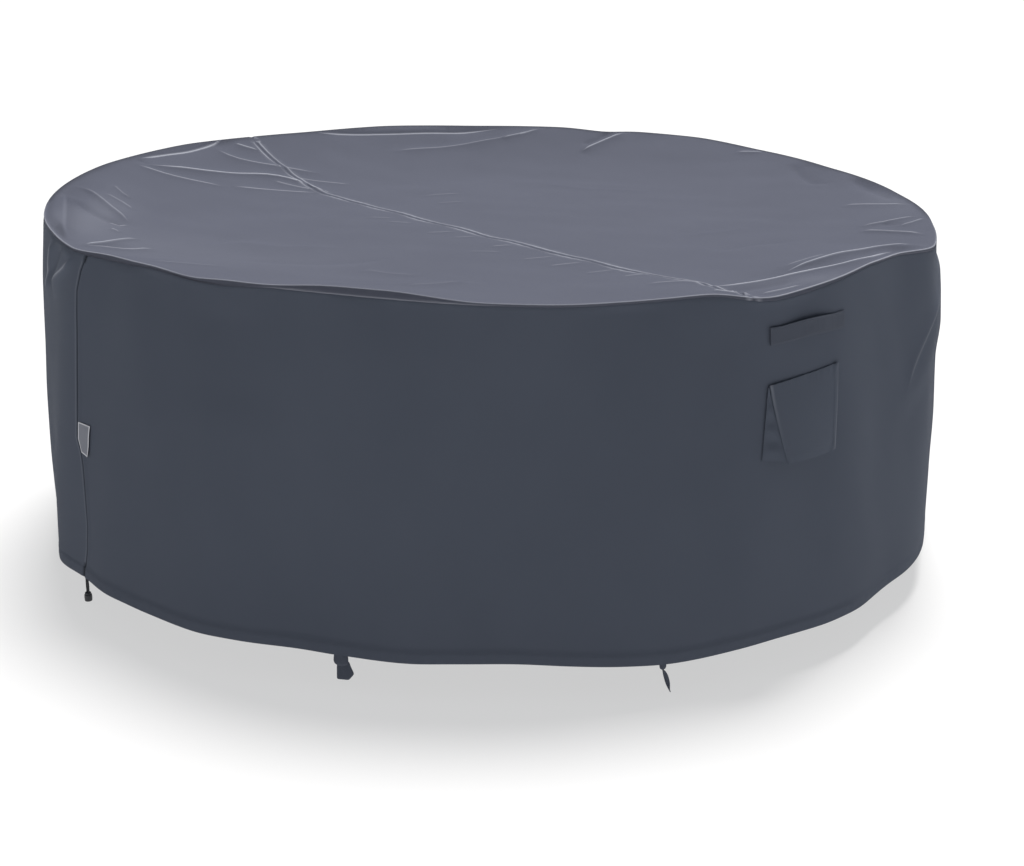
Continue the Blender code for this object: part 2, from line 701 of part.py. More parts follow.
def hem_frame(angle, radius):
    """Origin and directions of a tie: to the viewer's right, outwards, up."""
    turn = math.radians(angle)
    outward = Vector((math.cos(turn), math.sin(turn), 0.0))
    right = Vector((-math.sin(turn), math.cos(turn), 0.0))
    return outward * radius + Vector((0.0, 0.0, HEM_Z)), right, outward


def smooth_route(route, steps):
    """Points of a smooth curve through a route's points, steps for each of its stretches."""
    ends = np.array([route[0], *route, route[-1]])
    spots = []
    for before, start, end, after in zip(ends, ends[1:], ends[2:], ends[3:]):
        for t in np.arange(steps) / steps:
            spots.append(0.5 * (2 * start + (end - before) * t
                                + (2 * before - 5 * start + 4 * end - after) * t ** 2
                                + (3 * start - before - 3 * end + after) * t ** 3))
    return [*spots, ends[-1]]


def build_cord():
    """Two strands of the drawcord, in the plane of the hem, and the toggle that holds them."""
    origin, right, _ = hem_frame(CORD["angle"], CORD["radius"])
    for side, route in (("left", CORD_LEFT_ROUTE), ("right", CORD_RIGHT_ROUTE)):
        name = "drawcord_strand_" + side
        curve = bpy.data.curves.new(name, "CURVE")
        curve.dimensions = "3D"
        curve.bevel_depth = CORD["diameter"] / 2
        curve.bevel_resolution = 2
        curve.use_fill_caps = True
        spots = smooth_route(route, 2)
        spline = curve.splines.new("POLY")
        spline.points.add(len(spots) - 1)
        for point, (across, up) in zip(spline.points, spots):
            point.co = (*(origin + right * across + Vector((0.0, 0.0, up))), 1.0)
        made = bpy.data.objects.new(name, curve)
        bpy.context.scene.collection.objects.link(made)
        curve.materials.append(material(name, NEAR_BLACK, 0.7))

    toggle = CORD_TOGGLE
    rings, around = 8, 14
    middle = origin + Vector((0.0, 0.0, toggle["top"] - toggle["half_height"]))
    points, faces = [], []
    for ring in range(rings):
        level = math.pi * (ring + 0.6) / (rings + 0.2)
        for step in range(around):
            turn = 2 * math.pi * step / around
            wide = toggle["radius"] * math.sin(level) ** 0.75
            points.append(middle + Vector((wide * math.cos(turn), wide * math.sin(turn),
                                           toggle["half_height"] * math.cos(level) / 0.96)))
    for ring in range(rings - 1):
        for step in range(around):
            a, b = ring * around + step, ring * around + (step + 1) % around
            faces.append((a, a + around, b + around, b))
    faces.append(tuple(range(around)))
    faces.append(tuple(reversed(range((rings - 1) * around, rings * around))))
    add_solid("cord_toggle", points, faces, NEAR_BLACK, 0.45)


def soft_plate(name, frame, outline, thickness, crown, colour, out=0.0):
    """A flat piece with a rounded edge and crowned faces, its outline given as right and up."""
    origin, right, outward = frame
    spots = np.array(outline)
    middle = spots.mean(axis=0)
    levels = (-1.0, -0.75, 0.75, 1.0)
    shrink = (0.88, 1.0, 1.0, 0.88)
    points = []
    for level, size in zip(levels, shrink):
        for spot in middle + (spots - middle) * size:
            points.append(origin + right * spot[0] + Vector((0.0, 0.0, spot[1]))
                          + outward * (out + level * thickness / 2))
    count = len(spots)
    faces = []
    for ring in range(len(levels) - 1):
        for step in range(count):
            a, b = ring * count + step, ring * count + (step + 1) % count
            faces.append((a, b, b + count, a + count))
    for level, ring, order in ((-1, 0, -1), (1, len(levels) - 1, 1)):
        points.append(origin + right * middle[0] + Vector((0.0, 0.0, middle[1]))
                      + outward * (out + level * (thickness / 2 + crown)))
        for step in range(count):
            a, b = ring * count + step, ring * count + (step + 1) % count
            faces.append((a, b, len(points) - 1)[::order])
    return add_solid(name, points, faces, colour)


def build_left_strap():
    frame = hem_frame(STRAP_LEFT["angle"], STRAP_LEFT["radius"])
    loop = (
        # right, up
        (-0.0125, 0.0180), (-0.0160, -0.0050), (-0.0172, -0.0160), (-0.0150, -0.0220),
        (-0.0100, -0.0250), (0.0000, -0.0265), (0.0090, -0.0245), (0.0135, -0.0200),
        (0.0136, -0.0100), (0.0110, 0.0180),
    )
    tail = (
        (-0.0125, -0.0180), (-0.0138, -0.0320), (-0.0146, -0.0602), (0.0108, -0.0592),
        (0.0226, -0.0445), (0.0160, -0.0300), (0.0120, -0.0180), (0.0000, -0.0170),
    )
    soft_plate("strap_left_loop", frame, loop, 0.0060, 0.0020, DARK_GREY, out=0.0010)
    soft_plate("strap_left_tail", frame, tail, 0.0030, 0.0008, LIGHTER_GREY, out=-0.0065)


def build_right_strap():
    frame = hem_frame(STRAP_RIGHT["angle"], STRAP_RIGHT["radius"])
    tab = (
        (-0.0070, 0.0160), (-0.0070, -0.0120), (-0.0055, -0.0165), (-0.0005, -0.0190),
        (0.0050, -0.0170), (0.0070, -0.0120), (0.0055, 0.0160),
    )
    soft_plate("strap_right_tab", frame, tab, 0.0050, 0.0008, DARK_GREY)

    # The tie is a narrow tape that twists on its way down and leans to the right.
    origin, right, outward = frame
    width, steps = 0.0095, 14
    share = np.linspace(0.0, 1.0, steps + 1)
    twist = np.radians(lerp(80.0, -78.0, share))
    sideways = 0.0015 + 0.0160 * share ** 0.9
    up = lerp(-0.0205, -0.0670, share)
    grid = np.zeros((steps + 1, 3, 3))
    for row in range(steps + 1):
        spot = origin + right * sideways[row] + Vector((0.0, 0.0, up[row]))
        flat = right * math.cos(twist[row]) + outward * math.sin(twist[row])
        for column, place in enumerate((-0.5, 0.0, 0.5)):
            grid[row, column] = spot + flat * (place * width)
    sheet_over("strap_right_tie", grid, LIGHTER_GREY, 0.0015)


def main():
    clear_scene()
    build_top_panel("top_panel_front", -1)
    build_top_panel("top_panel_back", 1)
    build_side()
    build_handle()
    build_vent()
    build_label()
    build_cord()
    build_left_strap()
    build_right_strap()


main()
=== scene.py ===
"""Looks of the fitted round cover: fine folds, seams, stitching, cloth and light.

Metres, +Z up, the front of the cover towards -Y, the origin under the top's centre. Tables
marked mm are in millimetres, and angles are in degrees from +X. The tables of the rim, the hem,
the seams and the side's folds are those of the solids. The rim's fold, the handle's bow and the
room between the vent's pieces are drawn smaller than in the solids.
"""

import math

import bpy
import numpy as np
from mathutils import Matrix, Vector
from mathutils.geometry import delaunay_2d_cdt
from mathutils.kdtree import KDTree


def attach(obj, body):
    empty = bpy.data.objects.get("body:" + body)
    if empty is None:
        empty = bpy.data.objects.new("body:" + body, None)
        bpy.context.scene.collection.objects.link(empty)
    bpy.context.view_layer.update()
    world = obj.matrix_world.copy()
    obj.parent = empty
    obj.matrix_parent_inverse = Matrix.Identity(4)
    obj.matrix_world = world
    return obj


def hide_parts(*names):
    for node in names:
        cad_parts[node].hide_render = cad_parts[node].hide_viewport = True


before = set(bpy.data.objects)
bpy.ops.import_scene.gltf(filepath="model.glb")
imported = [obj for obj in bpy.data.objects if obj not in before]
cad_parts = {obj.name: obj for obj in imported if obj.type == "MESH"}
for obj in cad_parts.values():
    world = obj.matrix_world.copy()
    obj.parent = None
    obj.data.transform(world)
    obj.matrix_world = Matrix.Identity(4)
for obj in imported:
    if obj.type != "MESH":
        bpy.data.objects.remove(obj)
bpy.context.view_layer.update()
MM = 1000.0              # millimetres in a metre

# ---- camera

PHOTO_WIDTH, PHOTO_FOCUS = 1024, 1800.0     # pixels
SENSOR = 36.0                               # mm
CAMERA_AT, CAMERA_PITCH, VIEW_REACH = (0.042, -4.228, 0.910), 18.808, 200.0


def linked(name, data):
    """A new object of the scene that holds the data."""
    made = bpy.data.objects.new(name, data)
    bpy.context.scene.collection.objects.link(made)
    return made


def add_camera():
    data = bpy.data.cameras.new("camera")
    data.sensor_width = SENSOR
    data.lens = PHOTO_FOCUS / PHOTO_WIDTH * SENSOR
    data.clip_end = VIEW_REACH
    made = linked("camera", data)
    made.location = CAMERA_AT
    made.rotation_euler = (math.radians(90.0 - CAMERA_PITCH), 0.0, 0.0)
    bpy.context.scene.camera = made


add_camera()

# ---- the solids' tables

CLOTH = 0.002            # coated cloth
GAP = 0.0003             # between two pieces
TOP_CENTRE = 0.640       # height of the top's centre above the hem
HEM_Z = CLOTH - TOP_CENTRE
FOLD_RADIUS = 0.003      # rounding where the top turns down

RIM = (
    # angle, radius (mm), height (mm), drop of the seam (mm)
    (-173, 1044, 702, 7), (-158, 1031, 702, 7), (-147, 1031, 702, 7), (-142, 1000, 706, 14),
    (-132, 994, 710, 7), (-126, 994, 703, 7), (-121, 998, 712, 14), (-115, 1000, 714, 6),
    (-108, 1000, 725, 17), (-100, 1000, 722, 18), (-92, 1002, 704, 6), (-82, 1017, 701, 6),
    (-65, 1019, 703, 6), (-60.5, 1060, 689, 8), (-55, 1055, 696, 11), (-50, 1052, 702, 7),
    (-43, 1034, 708, 6), (-35, 1026, 703, 6), (-28, 1060, 692, 8), (-15, 1018, 694, 7),
    (5, 985, 690, 7), (27, 973, 691, 7), (45, 1006, 692, 7), (56, 1032, 699, 7), (68, 1028, 701, 7),
    (72, 1010, 697, 7), (79, 1044, 701, 7), (94, 1047, 702, 7), (108, 1065, 707, 7),
    (121, 1053, 707, 7), (131, 1055, 711, 7), (142, 1069, 715, 7), (160, 1071, 712, 7),
    (174, 1057, 707, 7),
)
HEM = (
    # angle, radius (mm), lift (mm)
    (-170, 1066, 0), (-163, 1061, 0), (-156, 1074, 0), (-150.5, 1106, 0), (-147, 1102, 1),
    (-143.6, 1096, 5), (-138.5, 1103, -1), (-133.5, 1095, -1), (-128, 1095, 0), (-122, 1103, 0),
    (-118, 1091, 1), (-111, 1071, 1), (-103, 1078, 0), (-98.5, 1087, 0), (-94, 1074, 1),
    (-88.5, 1070, 0), (-84, 1082, 0), (-78, 1109, 0), (-72.5, 1124, -1), (-66, 1120, 0), (-57, 1111, 0),
    (-51.6, 1115, 0), (-46.4, 1111, 0), (-41, 1092, 1), (-35, 1090, 0), (-29.5, 1085, 0),
    (-21.5, 1060, 0), (-14, 1049, 0), (2, 1063, 1), (20, 1051, 0), (38, 1079, -1), (53, 1066, 2),
    (70, 1096, 0), (84, 1074, 1), (101, 1104, -2), (117, 1081, 1), (133, 1108, 0), (150, 1086, 2),
    (167, 1096, -1), (180, 1074, 0),
)
RIM_SOFTNESS, HEM_SOFTNESS = 1.5, 1.8       # degrees over which corners are rounded
FLARE = 1.35             # how early the side spreads on its way down
LEFT_SEAM = (
    # down (0 at the rim, 1 at the hem), angle
    (0, -145.4), (.05, -146.2), (.11, -146.7), (.17, -146.5), (.24, -146.2), (.38, -145.7),
    (.51, -145.3), (.56, -145.2), (.6, -144.3), (.64, -143.8), (.72, -143.1), (.82, -142.3),
    (.9, -142.3), (.95, -142.7), (.97, -143.3), (1, -143.4),
)
RIGHT_SEAM_ANGLE = 35.0
SIDE_FOLDS = (
    # top_angle, top_down, bottom_angle, bottom_down, half_width (degrees), out (mm)
    (-157, -.02, -161, .24, 1.6, 6), (-153, 0, -159.5, .17, 1.7, -6), (-148.6, -.01, -157.5, .21, 2, 6),
    (-135, .02, -131, .6, 5, 3), (-121, .01, -118, .4, 5, -4), (-103, 0, -104, .75, 6, 4),
    (-88, .05, -92, 1, 5, -4), (-64.5, 0, -71, .6, 4, -4), (-44, .02, -41, .85, 4.5, -4),
    (-21, .1, -36.5, .52, 3.2, 8), (-14, .04, -13, .42, 9, 11), (-15, 0, -14, .88, 8, 8),
    (8, 0, 12, .7, 5, -7), (27, 0, 22, .9, 5, 6), (49, 0, 57, .65, 4.5, -10), (70, 0, 62, .5, 3.6, -12),
    (74, 0, 83, .75, 4, 11), (95, 0, 89, .8, 5, -9), (106, 0, 103, .5, 3.6, 9),
    (114, 0, 121, .9, 5, -11), (132, 0, 125, .55, 3.8, 10), (147, 0, 153, .8, 4.5, -10),
    (160, 0, 168, .6, 4, 9), (-178, 0, -178, .75, 4, -6), (-167, -.05, -165, 1.05, 7, 7),
)

TOP_SEAM_START = Vector((-0.702, 0.822))
TOP_SEAM_END = Vector((0.517, -0.946))
PLATEAU_LEAN = 0.040
PLATEAU_EDGE = 0.60
CLIMB = 1.6

HANDLE = {"left": -59.85, "right": -48.9, "left_height": 0.6157, "right_height": 0.6184,
          "width": 0.0345, "thickness": 0.0025, "sewn": 0.12, "stand_off": 0.0065, "arch": 0.005,
          "bow_power": 1.3, "edge_round": 0.0006, "crease_height": 0.0006, "crease_width": 0.008}
HANDLE_CREASES = ((0.41, 2.0), (0.50, 3.0), (0.58, 1.5), (0.66, 3.0), (0.80, 2.0))
VENT = {"left": -60.1, "right": -50.3, "left_height": 0.5218, "right_height": 0.5368,
        "belly": 0.006, "hem": 0.0008, "gather": 0.0010, "top_corner": 0.0030,
        "foot_corner": 0.0025, "corner_width": 0.03, "corner_length": 0.10, "sag": 0.0015,
        "clearance": 0.0002}
VENT_FLAP_FOOT = {"left": -59.2, "right": -51.95, "left_height": 0.373, "right_height": 0.3715,
                  "left_out": 0.030, "right_out": 0.013}
VENT_GUSSETS = (
    # side, where it starts down the flap's edge, foot's angle at the top and at the bottom
    ("left", 0.03, -60.25, -61.2),
    ("right", 0.50, -50.9, -53.3),
)
LABEL = {"inset": 0.3, "right": -142.4, "top": 0.342, "bottom": 0.280, "lean": 0.004,
         "thickness": 0.001, "lift": 0.003, "curl": 0.0006, "width": 0.030, "height": 0.060,
         "border": 0.0022, "border_pale": 0.9}
CORD = {"diameter": 0.004, "angle": -143.4, "radius": 1.091}
CORD_LEFT_ROUTE = ((-0.0028, -0.0010), (-0.0035, -0.0170), (-0.0034, -0.0330))
CORD_RIGHT_ROUTE = ((0.0028, -0.0010), (0.0048, -0.0170), (0.0036, -0.0330))
CORD_TOGGLE = {"radius": 0.0085, "half_height": 0.011, "top": -0.0335, "around": 32}
STRAP_LEFT = {"angle": -105.9, "radius": 1.066}
STRAP_RIGHT = {"angle": -72.4, "radius": 1.110}

# ---- fine folds

# Creases of the top, as ridges (troughs where the height is negative) through plan points.
TOP_CREASES = (
    # height (mm), width on the left and on the right (mm), whitening and painted highlight of the crest,
    # points (mm)
    (6, 50, 36, 1, (-947, 435), (-735, 528), (-560, 573), (-380, 411)),
    (4, 26, 50, .6, (-947, 435), (-861, 424), (-765, 435), (-690, 440)),
    (3, 26, 40, .6, (-703, 451), (-570, 471), (-448, 466)),
    (5, 45, 45, .5, (-780, 690), (-718, 652), (-615, 647), (-452, 645)),
    (2, 30, 30, .4, (-553, 584), (-376, 581)), (3, 30, 30, .7, (-726, 740), (-654, 732)),
    (2, 30, 25, .4, (-604, 554), (-461, 489)),
    (-6, 16, 100, 1, (-950, 460), (-905, 530), (-845, 606), (-780, 700), (-748, 758), (-700, 800)),
    (-3, 16, 16, 0, (-940, 470), (-905, 455)),
    (22, 55, 110, .1, (-1028, 46), (-983, -152), (-912, -451), (-879, -482)),
    (11, 50, 30, .3, (-1032, 127), (-956, 82), (-840, -105)),
    (-12, 34, 45, 0, (-999, 20), (-925, -62), (-847, -142)), (4, 16, 14, .6, (-895, -131), (-846, -112)),
    (4, 14, 16, .5, (-873, -192), (-851, -209)), (4, 20, 18, .3, (-960, 150), (-905, 110), (-870, 60)),
    (4, 16, 16, .2, (-955, 235), (-925, 190), (-895, 165)),
    (7, 36, 18, .6, (-868, -515), (-843, -436), (-816, -335), (-785, -240)),
    (6, 18, 30, .6, (-868, -505), (-823, -483), (-783, -448), (-730, -362)),
    (-5, 18, 18, 0, (-852, -500), (-827, -448), (-785, -360)),
    (4, 30, 30, .2, (-700, -640), (-620, -600), (-540, -590)),
    (-6, 14, 140, .9, (-575, 884), (-455, 932), (-355, 964), (-224, 995), (-109, 1012), (7, 1030),
     (80, 1036)),
    (5, 50, 60, .4, (-318, 860), (-107, 924), (94, 1006)), (4, 40, 40, .6, (7, 962), (133, 1020)),
    (9, 26, 60, 1, (234, 843), (300, 893), (343, 925), (378, 943)),
    (-6, 20, 22, 0, (240, 900), (300, 935), (330, 975)), (4, 26, 50, .6, (729, 666), (653, 706)),
    (-10, 80, 50, 0, (784, 537), (806, 347), (855, 275)),
    (-9, 60, 40, 0, (900, 330), (930, 180), (960, 20)), (5, 24, 60, .7, (823, 21), (914, -17), (990, -50)),
    (5, 30, 18, .5, (820, -246), (891, -226), (952, -191), (975, -176)),
    (-4, 18, 18, 0, (870, -245), (930, -250)), (4, 18, 18, .45, (905, -276), (943, -249), (980, -206)),
    (6, 30, 20, .6, (810, -290), (836, -305), (881, -336), (921, -354), (945, -390)),
    (15, 120, 45, .9, (560, -758), (620, -713), (680, -668), (745, -620), (808, -575), (845, -547),
     (874, -523), (905, -503), (938, -486)),
    (4, 14, 30, 1, (380, -842), (430, -822), (500, -794), (570, -766), (640, -737), (700, -708),
     (758, -665), (800, -620), (840, -575), (872, -540)),
    (4, 8, 12, .8, (420, -896), (450, -901), (478, -905)),
    (4, 8, 10, .7, (446, -880), (474, -889), (500, -893)),
    (3, 10, 10, .6, (515, -885), (560, -860), (610, -830)),
    (-6, 18, 26, 0, (450, -845), (530, -815), (610, -785)),
    (3, 30, 20, .5, (585, -690), (640, -652), (700, -590)),
    (4, 50, 30, .4, (300, -800), (380, -790), (440, -805)),
    (4, 60, 50, .1, (-282, -535), (-220, -575), (-166, -608), (-143, -632)),
    (4, 60, 50, .1, (-174, -821), (-77, -757), (-47, -698)),
    (5, 80, 60, 0, (-350, -930), (-180, -800), (0, -720)),
    (2, 10, 16, .3, (-160, -121), (-120, -119), (-88, -115)),
    (2, 10, 16, .26, (-96, -186), (-64, -179), (-36, -174)),
    (2, 10, 16, .34, (-6, -311), (21, -307), (46, -302)),
    (2, 10, 16, .22, (-60, -364), (-13, -364), (24, -369)),
    (2, 10, 16, .3, (-260, 30), (-220, 20), (-188, 10)),
    (2, 10, 14, .24, (-310, 96), (-275, 86), (-243, 78)),
    (2, 14, 16, .26, (-192, 407), (-138, 415), (-83, 418)),
    (2, 14, 18, .24, (-151, 283), (-115, 281), (-75, 283)),
    (2, 12, 16, .3, (60, -453), (100, -446), (139, -432)),
    (2, 12, 16, .34, (118, -535), (160, -524), (196, -514)),
    (2, 12, 16, .26, (190, -620), (230, -602), (262, -590)),
    (2, 12, 16, .4, (262, -690), (300, -672), (330, -660)),
    (3, 60, 50, 0, (120, 560), (260, 430), (420, 380)),
    (4, 90, 70, 0, (420, -250), (560, -180), (640, -20)),
    (-4, 80, 70, 0, (480, -420), (560, -360), (680, -330)),
    (4, 90, 80, 0, (-620, -180), (-500, -260), (-320, -280)),
    (-4, 90, 80, 0, (-560, -420), (-380, -450), (-200, -420)),
)
# Folds of the side, through points given as angle and height above the hem.
SIDE_CREASES = (
    # height (mm), width on the left and on the right (mm), whitening and painted highlight of the crest,
    # points (degrees, mm)
    (3, 12, 20, .8, (-157, 690), (-159, 620), (-160.7, 547)),
    (4, 16, 16, .8, (-148.4, 684), (-150.4, 651), (-155, 611), (-158.3, 585)),
    (-3, 12, 12, 0, (-152.8, 690), (-156, 640), (-160.2, 599)),
    (3, 30, 40, .3, (-22.8, 580), (-26.7, 548), (-31.9, 474), (-35.5, 391)),
)
# Painted highlights, and painted shade where negative, round the rim: on the fold, and at the seam below
# it.
RIM_PAINTED_LIGHT = (
    # angle, fold, seam
    (-177, -.5, 0), (-173, .4, 0), (-158, .6, .15), (-150, .6, -.35), (-146, .6, -.4), (-131, .6, -.5),
    (-127, .4, -.9), (-122, .55, -.6), (-116, .55, .05), (-112, .45, .45), (-94, .4, .45),
    (-88, .45, .05), (-63, .65, .05), (-58, .8, 0), (-45, .75, 0), (-33, .8, .2), (-26, .6, .1),
    (-14, .1, 0), (-8, -.5, 0), (170, -.5, 0),
)
# Broad patches of the top painted a little paler as painted light, or darker as painted shade where
# negative, than the rest.
TOP_PAINTED_LIGHT_PATCHES = (
    # amount, x, y, half-lengths along x and y (mm)
    (.085, -930, -120, 60, 260), (-.16, -1030, 80, 36, 240), (.03, -800, -300, 160, 200),
    (.025, -560, -420, 300, 200), (-.06, -100, 960, 420, 60), (-.1, 660, -705, 120, 26),
    (-.12, 830, -570, 80, 26), (.05, 640, -800, 120, 30), (.04, 960, 60, 60, 160),
    (-.05, 900, 360, 100, 140),
)
# Slow unevenness of the whole cloth.
WAVES = (
    # per metre along x, y and z, phase, height (mm)
    (17, 6, 3, .4, .9), (-9, 21, 5, 1.9, .8), (31, -13, -9, 3.1, .45), (12, 37, 11, 4.7, .4),
    (-43, 18, 16, .9, .28), (26, 47, -23, 2.6, .22), (-61, -33, 29, 5.5, .16), (71, -22, 37, 1.2, .12),
)
CREST_ROUND = 0.0016     # rounding of a crest
CREST_SHARP = 0.0010     # height of the sharp part of a pale crest
CREST_SHARP_WIDTH = 0.006
RIDGE_REACH = 2.2        # a ridge is nothing beyond this many widths

# How finely the cloth is faceted.
CLOTH_SPACING = 0.0085
CREASE_SPACING = 0.006
RIM_STEPS = (-0.0055, -0.0025, 0.0)                      # before the rim's fold starts
FOLD_STEPS = (0.25, 0.5, 0.75, 1.0)                      # shares of the fold
LIP_STEPS = (0.35, 0.7, 0.9, 1.0)                        # shares of the lip
SEAM_LANES = (0.0012, 0.0026, 0.0038, 0.0056, 0.0071, 0.0085, 0.0099, 0.0116)
SIDE_LANES = (0.0012, 0.0026, 0.0045, 0.0063, 0.0082, 0.0108, 0.0135)
CREST_LANES = (-0.011, -0.0055, -0.0022, 0.0022, 0.0055, 0.011)
SEAM_ROOM, SIDE_SEAM_ROOM = 0.0150, 0.0165               # kept for the lanes beside a seam
LANE_SPACING, LANE_ROOM = 0.0018, 0.0016

SEAM_TUCK = 0.0018       # edges that are sewn together are drawn in this much
SEAM_TUCK_WIDTH = 0.0026
RIM_TUCK = 0.0006        # the same where the side is sewn under the rim
SEAM_STITCH = 0.0085     # stitch rows run this far from the top's seam
SEAM_RIDGE = 0.0004      # and stand this high
SEAM_RIDGE_WIDTH = 0.0030
SEAM_PUCKER = {"height": 0.0003, "per_metre": 170.0, "width": 0.012}
LIP_PUCKER = 0.0006
RIM_FADE = 0.020         # fine folds die out this far inside the rim
ALLOWANCE = {"height": 0.0010, "width": 0.012}           # seam allowance under the side's cloth
SIDE_TALL = 0.69
SIDE_REACH = 1.04        # radius at which the side's angles are laid out flat
HEM_WIDTH = 0.024        # folded-over hem
HEM_HEIGHT = 0.0007
SIDE_ROWS = (0.0, 0.0022, 0.0044, 0.0075)                # shares down, under the rim
HEM_ROWS = (1.0 - HEM_WIDTH / SIDE_TALL - 0.0022, 1.0 - HEM_WIDTH / SIDE_TALL, 0.9955, 1.0)
STITCH = {"length": 0.0031, "pitch": 0.0045, "width": 0.0007, "height": 0.0005, "sink": 0.0002}

# Widths of the painted highlight and shade lines, and of the pale lines of thread with painted highlight.
THREAD_AND_HIGHLIGHT_LINE = 0.0024     # beside the top's seam
SEAM_SHADE_WIDTH, SEAM_PAINTED_SHADE = 0.0042, 1.2
RIM_PAINTED_LINE_WIDTH = 0.0014
SIDE_SHADE_WIDTH, SIDE_THREAD_AND_HIGHLIGHT_LINE = 0.0024, 0.0020


# ---- curves

CIRCLE_STEP = 0.5
CIRCLE = np.arange(-180.0, 180.0, CIRCLE_STEP)


def round_curve(angles, values, softness):
    """Values joined by straight lines round the circle, with softened corners."""
    line = np.interp(CIRCLE, angles, values, period=360.0)
    reach = int(4 * softness / CIRCLE_STEP)
    shifts = np.arange(-reach, reach + 1)
    weights = np.exp(-0.5 * (shifts * CIRCLE_STEP / softness) ** 2)
    weights /= weights.sum()
    return sum(np.roll(line, shift) * weight for shift, weight in zip(shifts, weights))


def on_circle(angle, curve):
    return np.interp(angle, CIRCLE, curve, period=360.0)


RIM_ANGLES, *RIM_VALUES = np.array(RIM).T
RIM_RADIUS, RIM_HEIGHT, RIM_DROP = (
    round_curve(RIM_ANGLES, values / MM, RIM_SOFTNESS) for values in RIM_VALUES)
HEM_ANGLES, *HEM_VALUES = np.array(HEM).T
HEM_RADIUS, HEM_LIFT = (round_curve(HEM_ANGLES, values / MM, HEM_SOFTNESS) for values in HEM_VALUES)


def wrapped(angle):
    """An angle brought between -180 and 180 degrees."""
    return np.mod(angle + 180.0, 360.0) - 180.0


def upright(reach, turn, height):
    """Points at a distance from the upright axis, in a direction and at a height."""
    return np.stack([reach * np.cos(turn), reach * np.sin(turn), height], axis=-1)


def smoothstep(low, high, value):
    share = np.clip((value - low) / (high - low), 0.0, 1.0)
    return share * share * (3.0 - 2.0 * share)


def lerp(a, b, share):
    return a + (b - a) * share


def hump(distance, width, power=2):
    """A smooth hump: 1 at no distance, almost nothing beyond its width."""
    return np.exp(-(distance / width) ** power)


def smooth_curve(spots, steps):
    """Points of a smooth curve through all the spots but the first and the last."""
    fine = []
    for before, start, end, after in zip(spots, spots[1:], spots[2:], spots[3:]):
        for t in np.linspace(0.0, 1.0, steps, endpoint=False):
            fine.append(0.5 * (2 * start + (end - before) * t
                               + (2 * before - 5 * start + 4 * end - after) * t ** 2
                               + (3 * start - before - 3 * end + after) * t ** 3))
    return np.array([*fine, spots[-2]])


def runs_of(line):
    """How far along a line each of its points lies."""
    return np.concatenate([[0.0], np.cumsum(np.linalg.norm(np.diff(line, axis=0), axis=1))])


def at_runs(places, runs, values):
    """The values that hold at places along a line."""
    return np.stack([np.interp(places, runs, column) for column in np.asarray(values).T], axis=1)


def resampled(points, spacing):
    """A smooth curve through a few points, given again at even distances."""
    points = [np.array(p, float) for p in points]
    fine = smooth_curve([2 * points[0] - points[1], *points, 2 * points[-1] - points[-2]], 24)
    runs = runs_of(fine)
    count = max(2, round(runs[-1] / spacing) + 1)
    return at_runs(np.linspace(0.0, runs[-1], count), runs, fine)


def ridge(path, left_width, right_width, rounding, x, y):
    """Shape of a ridge along a path, from 0 to 1: full on the path, thinning out beside it."""
    shape = np.zeros(x.shape)
    reach = RIDGE_REACH * max(left_width, right_width)
    low, high = path.min(axis=0) - reach, path.max(axis=0) + reach
    near = (x > low[0]) & (x < high[0]) & (y > low[1]) & (y < high[1])
    px, py = x[near], y[near]
    away, on, way = np.full(px.shape, 9.0), np.zeros(px.shape), np.zeros(px.shape)
    steps = len(path) - 1
    for step in range(steps):
        (ax, ay), (bx, by) = path[step], path[step + 1]
        run = np.array((bx - ax, by - ay))
        share = np.clip(((px - ax) * run[0] + (py - ay) * run[1]) / (run @ run), 0.0, 1.0)
        apart = np.hypot(px - ax - share * run[0], py - ay - share * run[1])
        closer = apart < away
        away = np.where(closer, apart, away)
        on = np.where(closer, run[0] * (py - ay) - run[1] * (px - ax), on)
        way = np.where(closer, (step + share) / steps, way)
    width = np.where(on > 0, left_width, right_width)
    slope = (np.sqrt(away ** 2 + rounding ** 2) - rounding) / width
    ends = smoothstep(0.0, 0.22, way + 0.02) * smoothstep(0.0, 0.30, 1.02 - way)
    shape[near] = np.exp(-3.0 * slope) * ends
    return shape


def crease_lift(forms, x, y):
    """How much all creases lift the cloth, and how pale their crests are painted: fold whitening and
    painted highlight.
    """
    lift, pale = np.zeros(x.shape), np.zeros(x.shape)
    for height, left, right, whitening_and_highlight, path in forms:
        lift = lift + height * ridge(path, left, right, 3 * CREST_ROUND, x, y)
        if whitening_and_highlight > 0:
            sharp = ridge(path, CREST_SHARP_WIDTH, CREST_SHARP_WIDTH, CREST_ROUND, x, y)
            lift = lift + CREST_SHARP * whitening_and_highlight * sharp
            pale = np.maximum(pale, whitening_and_highlight * np.clip(1.6 * sharp - 0.6, 0.0, 1.0))
    return lift, pale


def crease_forms(creases, place, spacing):
    """Creases with their lengths in metres and a fine path through their placed points."""
    return [(height / MM, left / MM, right / MM, whitening_and_highlight, resampled([place(*p) for p in points], spacing))
            for height, left, right, whitening_and_highlight, *points in creases]


def waves(x, y, z):
    total = 0.0
    for along_x, along_y, along_z, phase, height in WAVES:
        total = total + height / MM * np.sin(along_x * x + along_y * y + along_z * z + phase)
    return total


def seam_tuck(distance):
    """How far the cloth is drawn in beside a seam."""
    return SEAM_TUCK * hump(distance, SEAM_TUCK_WIDTH)


def normals_of(face, u, v, step=0.0008):
    """Unit normals of a curved face by differences, u and v running to its left-hand side."""
    along = face(u + step, v) - face(u - step, v)
    across = face(u, v + step) - face(u, v - step)
    normal = np.cross(along, across)
    return normal / np.linalg.norm(normal, axis=-1, keepdims=True)


# ---- the top

